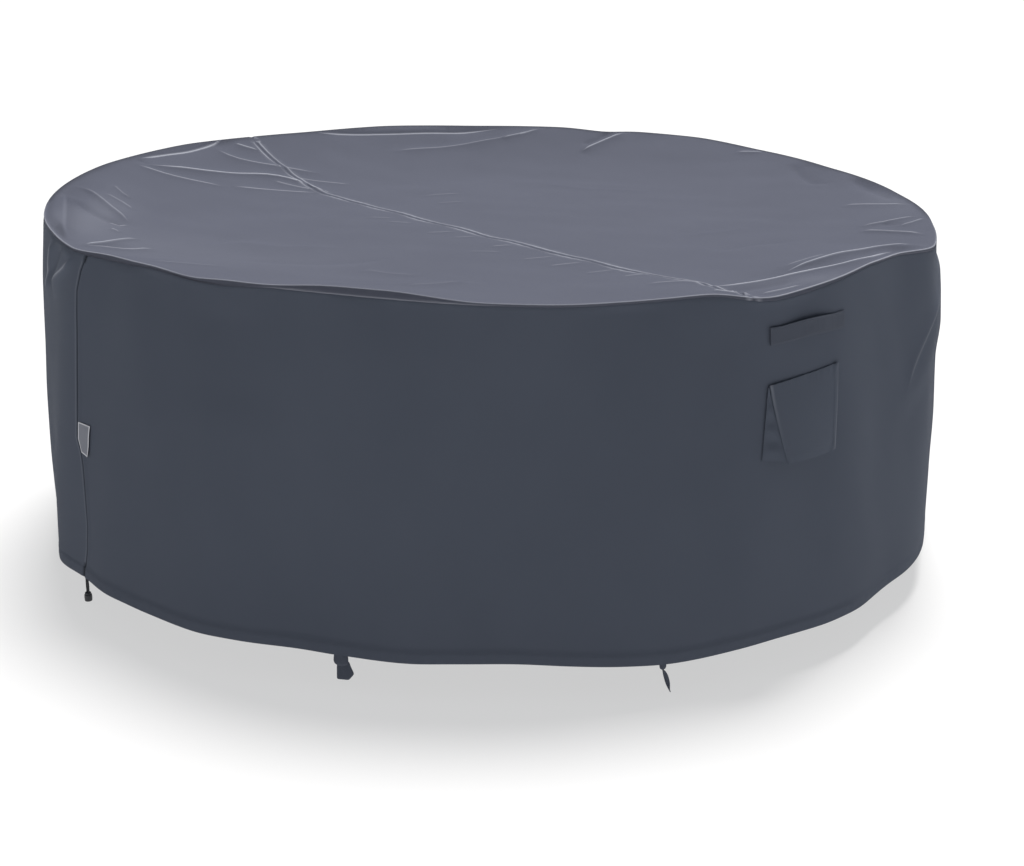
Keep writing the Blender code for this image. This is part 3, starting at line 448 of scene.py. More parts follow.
SEAM_WAY = (TOP_SEAM_END - TOP_SEAM_START).normalized()
SEAM_SIDE = np.array((-SEAM_WAY.y, SEAM_WAY.x))
SEAM_END_ANGLES = [math.degrees(math.atan2(end.y, end.x)) for end in (TOP_SEAM_START, TOP_SEAM_END)]
TOP_FORMS = crease_forms(TOP_CREASES, lambda x, y: (x / MM, y / MM), 0.03)


def off_seam(x, y):
    """Signed distance from the top's seam, positive behind it."""
    return SEAM_WAY.x * (y - TOP_SEAM_START.y) - SEAM_WAY.y * (x - TOP_SEAM_START.x)


def along_seam(x, y):
    return x * SEAM_WAY.x + y * SEAM_WAY.y


def top_height(x, y):
    """Height of the top above the hem, inside the rim."""
    angle = np.degrees(np.arctan2(y, x))
    reach = np.hypot(x, y)
    radius = on_circle(angle, RIM_RADIUS) - FOLD_RADIUS
    along, apart = along_seam(x, y), off_seam(x, y)
    plateau = TOP_CENTRE + PLATEAU_LEAN * along
    climb = np.clip((reach / radius - PLATEAU_EDGE) / (1.0 - PLATEAU_EDGE), 0.0, 1.0) ** CLIMB
    height = plateau + (on_circle(angle, RIM_HEIGHT) - plateau) * climb
    pucker = SEAM_PUCKER["height"] * np.sin(SEAM_PUCKER["per_metre"] * along)
    pucker = pucker * hump(apart, SEAM_PUCKER["width"])
    pucker = pucker + SEAM_RIDGE * hump(abs(apart) - SEAM_STITCH, SEAM_RIDGE_WIDTH)
    lift, _ = crease_lift(TOP_FORMS, x, y)
    return height + smoothstep(0.0, RIM_FADE, radius - reach) * (lift + waves(x, y, 0.0) + pucker)


def top_point(x, y):
    """The top's outer face, given in a plan where the cloth beyond the rim lies flat."""
    angle = np.arctan2(y, x)
    degrees = np.degrees(angle)
    start = on_circle(degrees, RIM_RADIUS) - FOLD_RADIUS
    reach = np.hypot(x, y)
    flat = np.minimum(reach, start)
    past = np.maximum(reach - start, 0.0)
    turned = np.minimum(past / FOLD_RADIUS, math.pi / 2)
    lip = np.maximum(past - FOLD_RADIUS * math.pi / 2, 0.0)
    drop = on_circle(degrees, RIM_DROP) - FOLD_RADIUS
    tuck = RIM_TUCK * smoothstep(drop - SEAM_TUCK_WIDTH, drop, lip) + seam_tuck(off_seam(x, y))
    pucker = LIP_PUCKER * np.sin(4.1 * degrees + 2.0 * np.sin(1.3 * degrees))
    out = flat + (FOLD_RADIUS - tuck) * np.sin(turned) + pucker * smoothstep(0.0, 0.004, lip)
    height = top_height(flat * np.cos(angle), flat * np.sin(angle))
    height = height - FOLD_RADIUS * (1.0 - np.cos(turned)) - lip - tuck * np.cos(turned)
    return upright(out, angle, height + HEM_Z)


def top_lines(x, y):
    """How pale or dark the top is painted: fold whitening, thread and painted highlights on its creases,
    stitched lines and rim, painted light in broad patches, and painted shade (negative) in the seam's
    groove, round the rim and in broad patches.
    """
    _, pale = crease_lift(TOP_FORMS, x, y)
    along, apart = along_seam(x, y), off_seam(x, y)
    # Pale lines beside the seam: thread, widened by a painted highlight of the stitched ridge that is
    # brighter behind the seam.
    thread = np.where(apart > 0, 0.50 + 0.12 * np.sin(23.0 * along), 0.30 + 0.24 * np.sin(31.0 * along))
    pale = np.maximum(pale, thread * hump(abs(apart) - SEAM_STITCH, THREAD_AND_HIGHLIGHT_LINE))
    # Painted shade in the seam's groove.
    pale = pale - SEAM_PAINTED_SHADE * hump(apart, SEAM_SHADE_WIDTH, 4)
    degrees = np.degrees(np.arctan2(y, x))
    angles, *lines = np.array(RIM_PAINTED_LIGHT).T
    fold, seam = (np.interp(degrees, angles, line, period=360.0) for line in lines)
    past = np.hypot(x, y) - on_circle(degrees, RIM_RADIUS) + FOLD_RADIUS
    lip = on_circle(degrees, RIM_DROP) - FOLD_RADIUS + FOLD_RADIUS * math.pi / 2 - past
    # Painted highlight along the rim's fold, and painted shade along the back of the rim where the fold's
    # value is negative.
    pale = np.maximum(pale, fold * hump(past - 0.0020, RIM_PAINTED_LINE_WIDTH))
    pale = pale + np.minimum(fold, 0.0) * hump(past + 0.0010, 0.0060)
    # Broad patches of painted light and painted shade over the top, inside the rim.
    for amount, *lengths in TOP_PAINTED_LIGHT_PATCHES:
        middle_x, middle_y, wide, deep = (length / MM for length in lengths)
        away = ((x - middle_x) / wide) ** 2 + ((y - middle_y) / deep) ** 2
        pale = pale + amount * np.exp(-away) * (past < 0.0)
    # Painted highlight, or painted shade where negative, at the seam under the rim's fold.
    return pale + seam * hump(lip - 0.0016, RIM_PAINTED_LINE_WIDTH)


def rim_rings(angle):
    """Plan distances of the rings that follow the rim, from the inside out."""
    start = on_circle(angle, RIM_RADIUS) - FOLD_RADIUS
    turned = FOLD_RADIUS * math.pi / 2
    lip = on_circle(angle, RIM_DROP) - FOLD_RADIUS
    return ([start + step for step in RIM_STEPS] + [start + turned * share for share in FOLD_STEPS]
            + [start + turned + lip * share for share in LIP_STEPS])


def ring_crossing(ring, side, near):
    """Angle at which a ring meets one edge of the top's seam, close to one of its ends."""
    low, high = near - 20.0, near + 20.0

    def behind(angle):
        reach = rim_rings(angle)[ring]
        turn = math.radians(angle)
        return off_seam(reach * math.cos(turn), reach * math.sin(turn)) > side * GAP / 2

    low_behind = behind(low)
    for _ in range(50):
        middle = (low + high) / 2
        if behind(middle) == low_behind:
            low = middle
        else:
            high = middle
    return low


# ---- the side

def fold_out(angle, down):
    """How far the side's folds carry it out at each point."""
    total = np.zeros(np.broadcast(angle, down).shape)
    for top_angle, top_down, bottom_angle, bottom_down, half_width, out in SIDE_FOLDS:
        share = (down - top_down) / (bottom_down - top_down)
        middle = top_angle + (bottom_angle - top_angle) * np.clip(share, 0.0, 1.0)
        ends = smoothstep(0.0, 0.25, share) * smoothstep(0.0, 0.35, 1.0 - share)
        total += out / MM * hump(wrapped(angle - middle), half_width) * ends
    return total * smoothstep(0.0, 0.03, down)


def down_at(angle, height):
    """How far down the side a height above the hem lies."""
    top = on_circle(angle, RIM_HEIGHT) - on_circle(angle, RIM_DROP)
    return (top - height) / (top - on_circle(angle, HEM_LIFT))


def flat_spot(angle, down):
    """Where a point of the side lies when the side is laid out flat."""
    return np.radians(angle) * SIDE_REACH, -down * SIDE_TALL


SIDE_FORMS = crease_forms(
    SIDE_CREASES, lambda angle, height: flat_spot(angle, down_at(angle, height / MM)), 0.02)


def left_seam_at(down):
    return np.interp(down, *np.array(LEFT_SEAM).T)


def side_point(angle, down, stand_off=0.0):
    """The side's outer face without its fine folds: down is 0 at the seam, 1 at the hem."""
    rim_radius = on_circle(angle, RIM_RADIUS)
    spread = 1.0 - (1.0 - down) ** FLARE
    radius = rim_radius + (on_circle(angle, HEM_RADIUS) - rim_radius) * spread
    radius = radius + fold_out(angle, down) + stand_off
    top = on_circle(angle, RIM_HEIGHT) - on_circle(angle, RIM_DROP) - GAP
    height = top + (on_circle(angle, HEM_LIFT) - top) * down
    return upright(radius, np.radians(angle), height + HEM_Z)


def side_detail(angle, down):
    """Fine folds, seams and hem of the side: how far out, and how pale or dark it is painted, by fold
    whitening and painted highlights on crests and beside seams and by painted shade in the seams' grooves.
    """
    u, v = flat_spot(angle, down)
    lift, pale = crease_lift(SIDE_FORMS, u, v)
    below, above_hem = down * SIDE_TALL, (1.0 - down) * SIDE_TALL
    turn = np.radians(angle)
    out = (lift + waves(np.cos(turn), np.sin(turn), below)) * smoothstep(0.0, 0.02, down)
    for seam in (left_seam_at(down), RIGHT_SEAM_ANGLE):
        run = np.radians(wrapped(angle - seam)) * SIDE_REACH
        doubled = smoothstep(0.0, 0.002, run) * smoothstep(0.0, 0.0015, ALLOWANCE["width"] - run)
        out = out - seam_tuck(run) + ALLOWANCE["height"] * doubled
        # Painted shade in the seam's groove, and a pale line of thread with a painted highlight beside it.
        pale = pale - hump(run, SIDE_SHADE_WIDTH, 4) + 0.22 * hump(run + 0.0062, SIDE_THREAD_AND_HIGHLIGHT_LINE)
    out = out - RIM_TUCK * smoothstep(-SEAM_TUCK_WIDTH, 0.0, -below)
    band = smoothstep(-0.0015, 0.0, HEM_WIDTH - above_hem)
    pull = np.sin(u * 260.0 + 1.7 * np.sin(u * 41.0))
    pull = pull * np.sin(math.pi * np.clip(above_hem / HEM_WIDTH, 0.0, 1.0))
    return out + HEM_HEIGHT * (1.0 + pull) * band, pale


def side_of(u, v):
    """The side's outer face as it is drawn, given in the plan where it is laid out flat."""
    angle, down = np.degrees(u / SIDE_REACH), np.clip(-v / SIDE_TALL, 0.0, 1.0)
    out, _ = side_detail(angle, down)
    return side_point(angle, down, out)


# ---- meshes

def piece(name, points, faces, material, smooth_angle=50.0):
    mesh = bpy.data.meshes.new(name)
    mesh.from_pydata(np.asarray(points).tolist(), [], faces)
    mesh.validate()
    mesh.update()
    mesh.shade_smooth()
    mesh.set_sharp_from_angle(angle=math.radians(smooth_angle))
    made = linked(name, mesh)
    mesh.materials.append(material)
    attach(made, "root")
    return made


def keep_plan(mesh, plan):
    """Gives each point its place in the flat cloth, for the weave."""
    loops = np.zeros(len(mesh.loops), dtype=np.int32)
    mesh.loops.foreach_get("vertex_index", loops)
    layer = mesh.uv_layers.new(name="cloth")
    layer.data.foreach_set("uv", plan[loops].astype(np.float32).ravel())


def border(faces):
    """Edges that only one face uses, in that face's direction."""
    used = {(a, b) for face in faces for a, b in zip(face, (*face[1:], face[0]))}
    return [(a, b) for a, b in used if (b, a) not in used]


def sheet(name, outer, normals, faces, material, plan, pale=0.0, thickness=CLOTH):
    """A closed sheet: outer faces, the same set back by the thickness, and walls between."""
    count = len(outer)
    walls = [(b, a, a + count, b + count) for a, b in border(faces)]
    backs = [tuple(i + count for i in reversed(face)) for face in faces]
    points = np.vstack([outer, outer - normals * thickness])
    made = piece(name, points, [*faces, *backs, *walls], material)
    keep_plan(made.data, np.vstack([plan, plan]))
    values = np.zeros(2 * count, dtype=np.float32)
    values[:count] = pale
    # The crest attribute: how pale or dark the cloth is painted, by fold whitening, thread, print and
    # painted highlights, and by painted shade where negative.
    made.data.attributes.new("crest", "FLOAT", "POINT").data.foreach_set("value", values)
    return made


def spread(low, high, spacing):
    """Points of an even triangular pattern over a rectangle."""
    rows = np.arange(low[1], high[1], spacing * math.sqrt(0.75))
    x, y = np.meshgrid(np.arange(low[0], high[0], spacing), rows)
    x = x + (np.arange(len(rows)) % 2)[:, None] * spacing / 2
    return np.stack([x.ravel(), y.ravel()], axis=1)


def clear_of(points, taken, distance):
    """The points that keep a distance from those already taken."""
    tree = KDTree(len(taken))
    for i, spot in enumerate(taken):
        tree.insert((*spot, 0.0), i)
    tree.balance()
    return points[[i for i, spot in enumerate(points) if tree.find((*spot, 0.0))[2] > distance]]


def thinned(points, distance):
    """Drops points that lie closer than a distance to one kept before."""
    cells, kept = {}, []
    for spot in points:
        key = (int(spot[0] // distance), int(spot[1] // distance))
        around = (cells.get((key[0] + i, key[1] + j)) for i in (-1, 0, 1) for j in (-1, 0, 1))
        if all(other is None or math.dist(other, spot) > distance for other in around):
            cells[key] = tuple(spot)
            kept.append(spot)
    return np.array(kept)


def beside(line, distance):
    """A line set off to its left by a distance."""
    way = np.gradient(line, axis=0)
    way /= np.linalg.norm(way, axis=1, keepdims=True)
    return line + np.stack([-way[:, 1], way[:, 0]], axis=1) * distance


def crease_points(forms, keep):
    """Lines of the pale crests, and points in lanes beside them, where keep says they may lie."""
    crests, lanes = [], []
    for _, _, _, whitening_and_highlight, path in forms:
        if whitening_and_highlight <= 0:
            continue
        line = resampled(path, CREASE_SPACING)
        good = keep(*line.T)
        if good.sum() > 1:
            first, last = int(np.argmax(good)), len(good) - int(np.argmax(good[::-1]))
            if good[first:last].all():
                crests.append(line[first:last])
        for distance in CREST_LANES:
            lane = beside(line, distance)
            lanes.extend(lane[keep(*lane.T)])
    return crests, lanes


class Borders:
    """Lines that the facets of a piece of cloth keep to, and joins between their points."""

    def __init__(self):
        self.lines, self.joins, self.count = [], [], 0

    def add(self, line):
        """Adds a line, and gives the numbers of its first and last point."""
        first = self.count
        self.lines.append(line)
        self.count += len(line)
        self.joins.extend((i, i + 1) for i in range(first, self.count - 1))
        return first, self.count - 1


def faceted(borders, low, high, keep, forms):
    """Plan points and triangles of a piece of cloth inside its borders."""
    crests, lanes = crease_points(forms, keep)
    for crest in crests:
        borders.add(crest)
    taken = np.vstack(borders.lines)
    if lanes:
        taken = np.vstack([taken, clear_of(thinned(lanes, LANE_SPACING), taken, LANE_ROOM)])
    filling = spread(low, high, CLOTH_SPACING)
    filling = clear_of(filling[keep(*filling.T)], taken, 0.55 * CLOTH_SPACING)
    points = [Vector(p) for p in (*taken, *filling)]
    verts, _, faces, _, _, _ = delaunay_2d_cdt(points, borders.joins, [], 1, 1e-7)
    return np.array([tuple(v) for v in verts]), [tuple(f) for f in faces]


def build_top_panel(name, side, material):
    """The top in front of its seam (side -1) or behind it (side 1)."""
    first_end, last_end = SEAM_END_ANGLES[::-side]
    if last_end < first_end:
        last_end += 360.0
    borders, rings = Borders(), []
    for ring in range(len(rim_rings(0.0))):
        low, high = (ring_crossing(ring, side, end) for end in (first_end, last_end))
        count = round(math.radians(high - low) * SIDE_REACH / CLOTH_SPACING)
        angles = np.linspace(low, high, count + 1)
        reach, turn = rim_rings(angles)[ring], np.radians(angles)
        rings.append(borders.add(np.stack([reach * np.cos(turn), reach * np.sin(turn)], axis=1)))
    for inner, outer in zip(rings, rings[1:]):
        borders.joins.extend(zip(inner, outer))
    start, end = borders.lines[0][[0, -1]]
    count = round(np.linalg.norm(end - start) / CREASE_SPACING)
    chord = np.array([lerp(start, end, i / count) for i in range(1, count)])
    first, last = borders.add(chord)
    borders.joins.extend([(rings[0][0], first), (last, rings[0][1])])
    for distance in SEAM_LANES:
        borders.add((chord + SEAM_SIDE * side * distance)[3:-3])

    def keep(x, y):
        inner = rim_rings(np.degrees(np.arctan2(y, x)))[0]
        return (off_seam(x, y) * side > SEAM_ROOM) & (np.hypot(x, y) < inner - 0.002)

    verts, faces = faceted(borders, (-1.12, -1.12), (1.12, 1.12), keep, TOP_FORMS)
    x, y = verts.T
    return sheet(name, top_point(x, y), normals_of(top_point, x, y), faces, material, verts,
                 top_lines(x, y))


def build_side_panel(name, left, right, material):
    """One panel of the side between two seams, each an angle for every share down."""
    borders, rows = Borders(), []
    for down in (*SIDE_ROWS, *HEM_ROWS):
        count = round(math.radians(right(down) - left(down)) * SIDE_REACH / CLOTH_SPACING)
        angles = np.linspace(left(down), right(down), count + 1)
        rows.append(borders.add(np.stack(flat_spot(angles, np.full(angles.shape, down)), axis=1)))
    top, foot = SIDE_ROWS[-1], HEM_ROWS[0]
    downs = np.linspace(top, foot, round((foot - top) * SIDE_TALL / CREASE_SPACING))[1:-1]
    for which, seam, sign in ((0, left, 1.0), (1, right, -1.0)):
        edge = np.stack(flat_spot(seam(downs), downs), axis=1)
        first, last = borders.add(edge)
        ends = [row[which] for row in rows]
        above, below = ends[:len(SIDE_ROWS)], ends[len(SIDE_ROWS):]
        for chain in ([*above, first], [last, *below]):
            borders.joins.extend(zip(chain, chain[1:]))
        for distance in SIDE_LANES:
            borders.add(edge[1:-1] + np.array((sign * distance, 0.0)))

    def keep(x, y):
        down, angle = -y / SIDE_TALL, np.degrees(x / SIDE_REACH)
        room = math.degrees(SIDE_SEAM_ROOM / SIDE_REACH)
        return ((angle > left(down) + room) & (angle < right(down) - room) & (down > top + 0.004)
                & ((down < foot - 0.004) | ((down > HEM_ROWS[1] + 0.004) & (down < 0.992))))

    def turned_back(x):
        return np.mod(x + half_turn, 2 * half_turn) - half_turn

    def face(x, y):
        return side_of(turned_back(x), y)

    half_turn = math.pi * SIDE_REACH
    shares = (0.0, 0.1, 0.5, 1.0)
    low, _ = flat_spot(min(left(share) for share in shares), 0.0)
    high, _ = flat_spot(max(right(share) for share in shares), 0.0)
    forms = [(*form[:-1], form[-1] + (shift, 0.0)) for shift in (0.0, 2 * half_turn)
             for form in SIDE_FORMS]
    verts, faces = faceted(borders, (low - 0.01, -SIDE_TALL), (high + 0.01, 0.0), keep, forms)
    u, v = verts.T
    _, pale = side_detail(np.degrees(turned_back(u) / SIDE_REACH), np.clip(-v / SIDE_TALL, 0.0, 1.0))
    return sheet(name, face(u, v), normals_of(face, u, v), faces, material, verts, pale)


# ---- materials

def node(tree, kind, **values):
    made = tree.nodes.new(kind)
    for key, value in values.items():
        setattr(made, key, value)
    return made


def fill(tree, sockets, values):
    """Sets sockets to numbers and colours, or links them to the outputs given."""
    for socket, value in zip(sockets, values):
        if isinstance(value, tuple):
            socket.default_value = (*value, 1.0)
        elif isinstance(value, (int, float)):
            socket.default_value = value
        else:
            tree.links.new(value, socket)


def mix_colour(tree, share, a, b):
    made = node(tree, "ShaderNodeMix", data_type="RGBA")
    fill(tree, (made.inputs[0], made.inputs[6], made.inputs[7]), (share, a, b))
    return made.outputs[2]


def fill_named(tree, made, values):
    fill(tree, [made.inputs[key] for key in values], values.values())


def noise(tree, place, scale, detail):
    made = node(tree, "ShaderNodeTexNoise")
    fill_named(tree, made, {"Vector": place, "Scale": scale, "Detail": detail})
    return made.outputs[0]


def new_material(name, roughness):
    made = bpy.data.materials.new(name)
    made.use_nodes = True
    shader = made.node_tree.nodes["Principled BSDF"]
    shader.inputs["Roughness"].default_value = roughness
    return made, made.node_tree, shader


def add_bump(tree, shader, height, depth, strength):
    made = node(tree, "ShaderNodeBump")
    fill_named(tree, made, {"Height": height, "Distance": depth, "Strength": strength})
    tree.links.new(made.outputs[0], shader.inputs["Normal"])


def cloth_material(name, dark, light, crest, yarn, roughness, weave_depth=0.00022):
    """Plain woven cloth with a coated back: yarns over and under with painted shade in the grooves between
    them, mottled, paler where the crest attribute is positive (fold whitening, thread, print and painted
    highlights) and darker with painted shade where it is negative.
    """
    made, tree, shader = new_material(name, roughness)
    fill_named(tree, shader, {"Sheen Weight": 0.02, "Sheen Roughness": 0.45,
                              "Sheen Tint": (0.75, 0.80, 0.90), "Specular IOR Level": 0.08})

    def op(operation, *values):
        made = node(tree, "ShaderNodeMath", operation=operation)
        fill(tree, made.inputs, values)
        return made.outputs[0]

    def times(a, b):
        return op("MULTIPLY", a, b)

    place = node(tree, "ShaderNodeUVMap", uv_map="cloth").outputs[0]
    split = node(tree, "ShaderNodeSeparateXYZ")
    tree.links.new(place, split.inputs[0])
    across, along = (op("SINE", times(split.outputs[i], math.pi / yarn)) for i in (0, 1))
    over = op("GREATER_THAN", times(across, along), 0.0)
    warp = times(op("ABSOLUTE", across), over)
    weft = times(op("ABSOLUTE", along), op("SUBTRACT", 1.0, over))
    weave = op("ADD", warp, weft)

    slow = noise(tree, node(tree, "ShaderNodeTexCoord").outputs["Object"], 3.5, 3.0)
    slub = noise(tree, place, 900.0, 2.0)
    mottle = op("ADD", times(slow, 0.75), times(slub, 0.25))
    ground = mix_colour(tree, mottle, dark, light)
    # Painted shade in the grooves between the yarns.
    groove_shade = times(op("SUBTRACT", 1.0, weave), 0.35)
    ground = mix_colour(tree, groove_shade, ground, tuple(0.55 * value for value in dark))
    # Paler towards the crest colour with fold whitening, thread, print and painted highlights where the
    # attribute is positive, darker with painted shade where it is negative.
    line = node(tree, "ShaderNodeAttribute", attribute_name="crest").outputs["Fac"]
    ground = mix_colour(tree, op("MAXIMUM", line, 0.0), ground, crest)
    painted_shade = op("MAXIMUM", times(line, -1.0), 0.0)
    ground = mix_colour(tree, painted_shade, ground, tuple(0.25 * value for value in dark))
    tree.links.new(ground, shader.inputs["Base Color"])
    add_bump(tree, shader, op("ADD", weave, times(slub, 0.5)), weave_depth, 0.6)
    return made


def plain_material(name, colour, roughness, grain, depth):
    """Moulded or spun material: a little mottled, with a fine grain."""
    made, tree, shader = new_material(name, roughness)
    grains = noise(tree, node(tree, "ShaderNodeTexCoord").outputs["Object"], grain, 3.0)
    mottled = mix_colour(tree, grains, tuple(0.7 * value for value in colour), colour)
    tree.links.new(mottled, shader.inputs["Base Color"])
    add_bump(tree, shader, grains, depth, 0.5)
    return made


# One cloth in two copies: the top's is painted darker, and the side's painted lighter and bluer, as painted
# light and shade for how light falls on each.
CLOTH_TOP_PAINTED_DARKER = cloth_material("cover_cloth_top_painted_darker", (0.084, 0.090, 0.119), (0.100, 0.107, 0.140),
                           (0.400, 0.415, 0.470), 0.00075, 0.80)
CLOTH_SIDE_PAINTED_LIGHTER = cloth_material("cover_cloth_side_painted_lighter", (0.095, 0.109, 0.143), (0.115, 0.130, 0.167),
                            (0.340, 0.355, 0.400), 0.00075, 0.80)
TRIM = cloth_material("trim_cloth", (0.100, 0.115, 0.150), (0.120, 0.136, 0.174),
                      (0.340, 0.355, 0.400), 0.00065, 0.80)
WEBBING = cloth_material("webbing", (0.092, 0.103, 0.134), (0.114, 0.126, 0.158),
                         (0.300, 0.310, 0.340), 0.00110, 0.80, weave_depth=0.0004)
LABEL_CLOTH = cloth_material("label_cloth", (0.250, 0.260, 0.300), (0.300, 0.310, 0.350),
                             (0.880, 0.890, 0.930), 0.00030, 0.60, weave_depth=0.00008)
THREAD = plain_material("thread", (0.135, 0.145, 0.170), 0.70, 2500.0, 0.0001)
PALE_THREAD = plain_material("pale_thread", (0.300, 0.310, 0.345), 0.65, 2500.0, 0.0001)
CORD_BLACK = plain_material("cord", (0.030, 0.031, 0.036), 0.72, 900.0, 0.0003)
TOGGLE_PLASTIC = plain_material("toggle_plastic", (0.050, 0.053, 0.060), 0.45, 700.0, 0.00006)

# ---- stitches


def stitch_row(spots, normals):
    """Stitches along a line of 3-D points, as small spindles that lie on the cloth."""
    runs = runs_of(spots)
    count = int(runs[-1] / STITCH["pitch"])
    starts = STITCH["pitch"] * (np.arange(count) + 0.15)
    ends = starts + STITCH["length"]
    head, tail, middle = (at_runs(at, runs, spots) for at in (starts, ends, (starts + ends) / 2))
    up = at_runs((starts + ends) / 2, runs, normals)
    up /= np.linalg.norm(up, axis=1, keepdims=True)
    way = tail - head
    way /= np.linalg.norm(way, axis=1, keepdims=True)
    aside = np.cross(way, up) * STITCH["width"] / 2
    sunk = up * STITCH["sink"]
    rows = [head - sunk, middle + up * STITCH["height"], middle + aside, middle - sunk, middle - aside,
            tail - sunk]
    faces = []
    for a in range(0, 6 * count, 6):
        for b, c in ((1, 2), (2, 3), (3, 4), (4, 1)):
            faces.extend([(a, a + b, a + c), (a + 5, a + c, a + b)])
    return np.stack(rows, axis=1).reshape(-1, 3), faces


def stitches(name, rows, material):
    points, faces = np.zeros((0, 3)), []
    for spots, normals in rows:
        some, theirs = stitch_row(spots, normals)
        faces.extend(tuple(i + len(points) for i in face) for face in theirs)
        points = np.vstack([points, some])
    made = piece(name, points, faces, material, 80.0)
    return made


def side_row(angle, down):
    u, v = flat_spot(angle, down)
    return side_of(u, v), normals_of(side_of, u, v)


# ---- the panels

top_front = build_top_panel("cover_top_front", -1, CLOTH_TOP_PAINTED_DARKER)
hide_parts("top_panel_front")
top_back = build_top_panel("cover_top_back", 1, CLOTH_TOP_PAINTED_DARKER)
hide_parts("top_panel_back")

half_gap = math.degrees(GAP / 2)
side_front = build_side_panel("cover_side_front", lambda d: left_seam_at(d) + half_gap,
                              lambda d: RIGHT_SEAM_ANGLE - half_gap + 0.0 * d, CLOTH_SIDE_PAINTED_LIGHTER)
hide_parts("skirt_panel_front")
side_back = build_side_panel("cover_side_back", lambda d: RIGHT_SEAM_ANGLE + half_gap + 0.0 * d,
                             lambda d: left_seam_at(d) + 360.0 - half_gap, CLOTH_SIDE_PAINTED_LIGHTER)
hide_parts("skirt_panel_back")

# ---- the seams' stitches


def seam_line(offset):
    """A line beside the top's seam, on the cloth, and the normals along it."""
    along = np.linspace(0.004, 0.996, 520)[:, None]
    x, y = (lerp(np.array(TOP_SEAM_START), np.array(TOP_SEAM_END), along) + SEAM_SIDE * offset).T
    return top_point(x, y), normals_of(top_point, x, y)


stitches("top_seam_stitches", [seam_line(SEAM_STITCH), seam_line(-SEAM_STITCH)], PALE_THREAD)
round_angles = np.arange(-180.0, 180.0, math.degrees(0.004 / SIDE_REACH))
for name, down in (("rim_seam_stitches", 0.0085),
                   ("hem_stitches", 1.0 - (HEM_WIDTH - 0.003) / SIDE_TALL)):
    stitches(name, [side_row(round_angles, np.full(round_angles.shape, down))], THREAD)
seam_downs = np.linspace(0.012, 0.985, 170)
beside_seam = math.degrees(0.0075 / SIDE_REACH)
stitches("side_seam_stitches", [
    side_row(left_seam_at(seam_downs) + beside_seam, seam_downs),
    side_row(np.full(seam_downs.shape, RIGHT_SEAM_ANGLE + beside_seam), seam_downs),
], THREAD)

# ---- handle, vent, label


def grid_faces(rows, columns):
    corners = (row * columns + column for row in range(rows - 1) for column in range(columns - 1))
    return [(a, a + columns, a + columns + 1, a + 1) for a in corners]


def grid_normals(outer):
    normals = np.cross(np.gradient(outer, axis=0), np.gradient(outer, axis=1))
    return normals / np.linalg.norm(normals, axis=-1, keepdims=True)


def grid_sheet(name, outer, material, thickness, pale=0.0):
    """A thin sheet from a grid of outer points, rows down and columns to the viewer's right."""
    shape = outer.shape[:2]
    across, down = (np.linalg.norm(np.diff(outer, axis=axis), axis=-1).mean(axis=1 - axis)
                    for axis in (1, 0))
    u, v = (np.concatenate([[0.0], np.cumsum(lengths)]) for lengths in (across, down))
    plan = np.stack(np.broadcast_arrays(u[None, :], -v[:, None]), axis=-1).reshape(-1, 2)
    return sheet(name, outer.reshape(-1, 3), grid_normals(outer).reshape(-1, 3), grid_faces(*shape),
                 material, plan, np.broadcast_to(pale, shape).ravel(), thickness)


def on_side(angle, height, stand_off=0.0):
    """A point over the side's outer face at a height above the hem."""
    return side_point(angle, down_at(angle, height), stand_off)


def grid_line(outer, row=slice(None), column=slice(None)):
    """A row or a column of a grid of points, with its normals."""
    return outer[row, column], grid_normals(outer)[row, column]


def build_handle():
    h = HANDLE
    across = np.linspace(0.0, 1.0, 91)[None, :]
    rows = np.linspace(0.5, -0.5, 15)[:, None]
    angle = lerp(h["left"], h["right"], across) + 0 * rows
    free = np.clip((across - h["sewn"]) / (1 - 2 * h["sewn"]), 0.0, 1.0)
    bow = np.sin(math.pi * free) ** h["bow_power"]
    height = lerp(h["left_height"], h["right_height"], across) + rows * h["width"] + h["arch"] * bow
    edge = np.minimum(0.5 - abs(rows), 0.12) / 0.12
    ends = np.minimum(np.minimum(across, 1 - across), 0.012) / 0.012
    rounded = 1 - np.sqrt(np.clip(1 - (1 - np.minimum(edge, ends)) ** 2, 0.0, 1.0))
    creases = sum(h["crease_height"] * hump(across - at, h["crease_width"]) * np.cos(rows * wide)
                  for at, wide in HANDLE_CREASES)
    out = h["thickness"] + 2 * GAP + h["stand_off"] * bow - h["edge_round"] * rounded + creases
    outer = on_side(angle, height, out)
    made = grid_sheet("handle", outer, WEBBING, h["thickness"])
    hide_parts("handle_strap")
    fine = [grid_line(outer, row=row) for row in (2, 12)]
    fine += [grid_line(outer[2:13], column=column) for column in (2, 10, 80, 88)]
    sewn = stitches("handle_stitches", fine, THREAD)


def flap_edge(side, share):
    """Angle, height and stand-off of the flap's left or right edge, share 0 top to 1 foot."""
    foot = VENT_FLAP_FOOT
    angle = lerp(VENT[side], foot[side], share ** 1.3)
    height = lerp(VENT[side + "_height"], foot[side + "_height"], share)
    return angle, height, CLOTH + 2 * GAP + foot[side + "_out"] * share ** 1.2


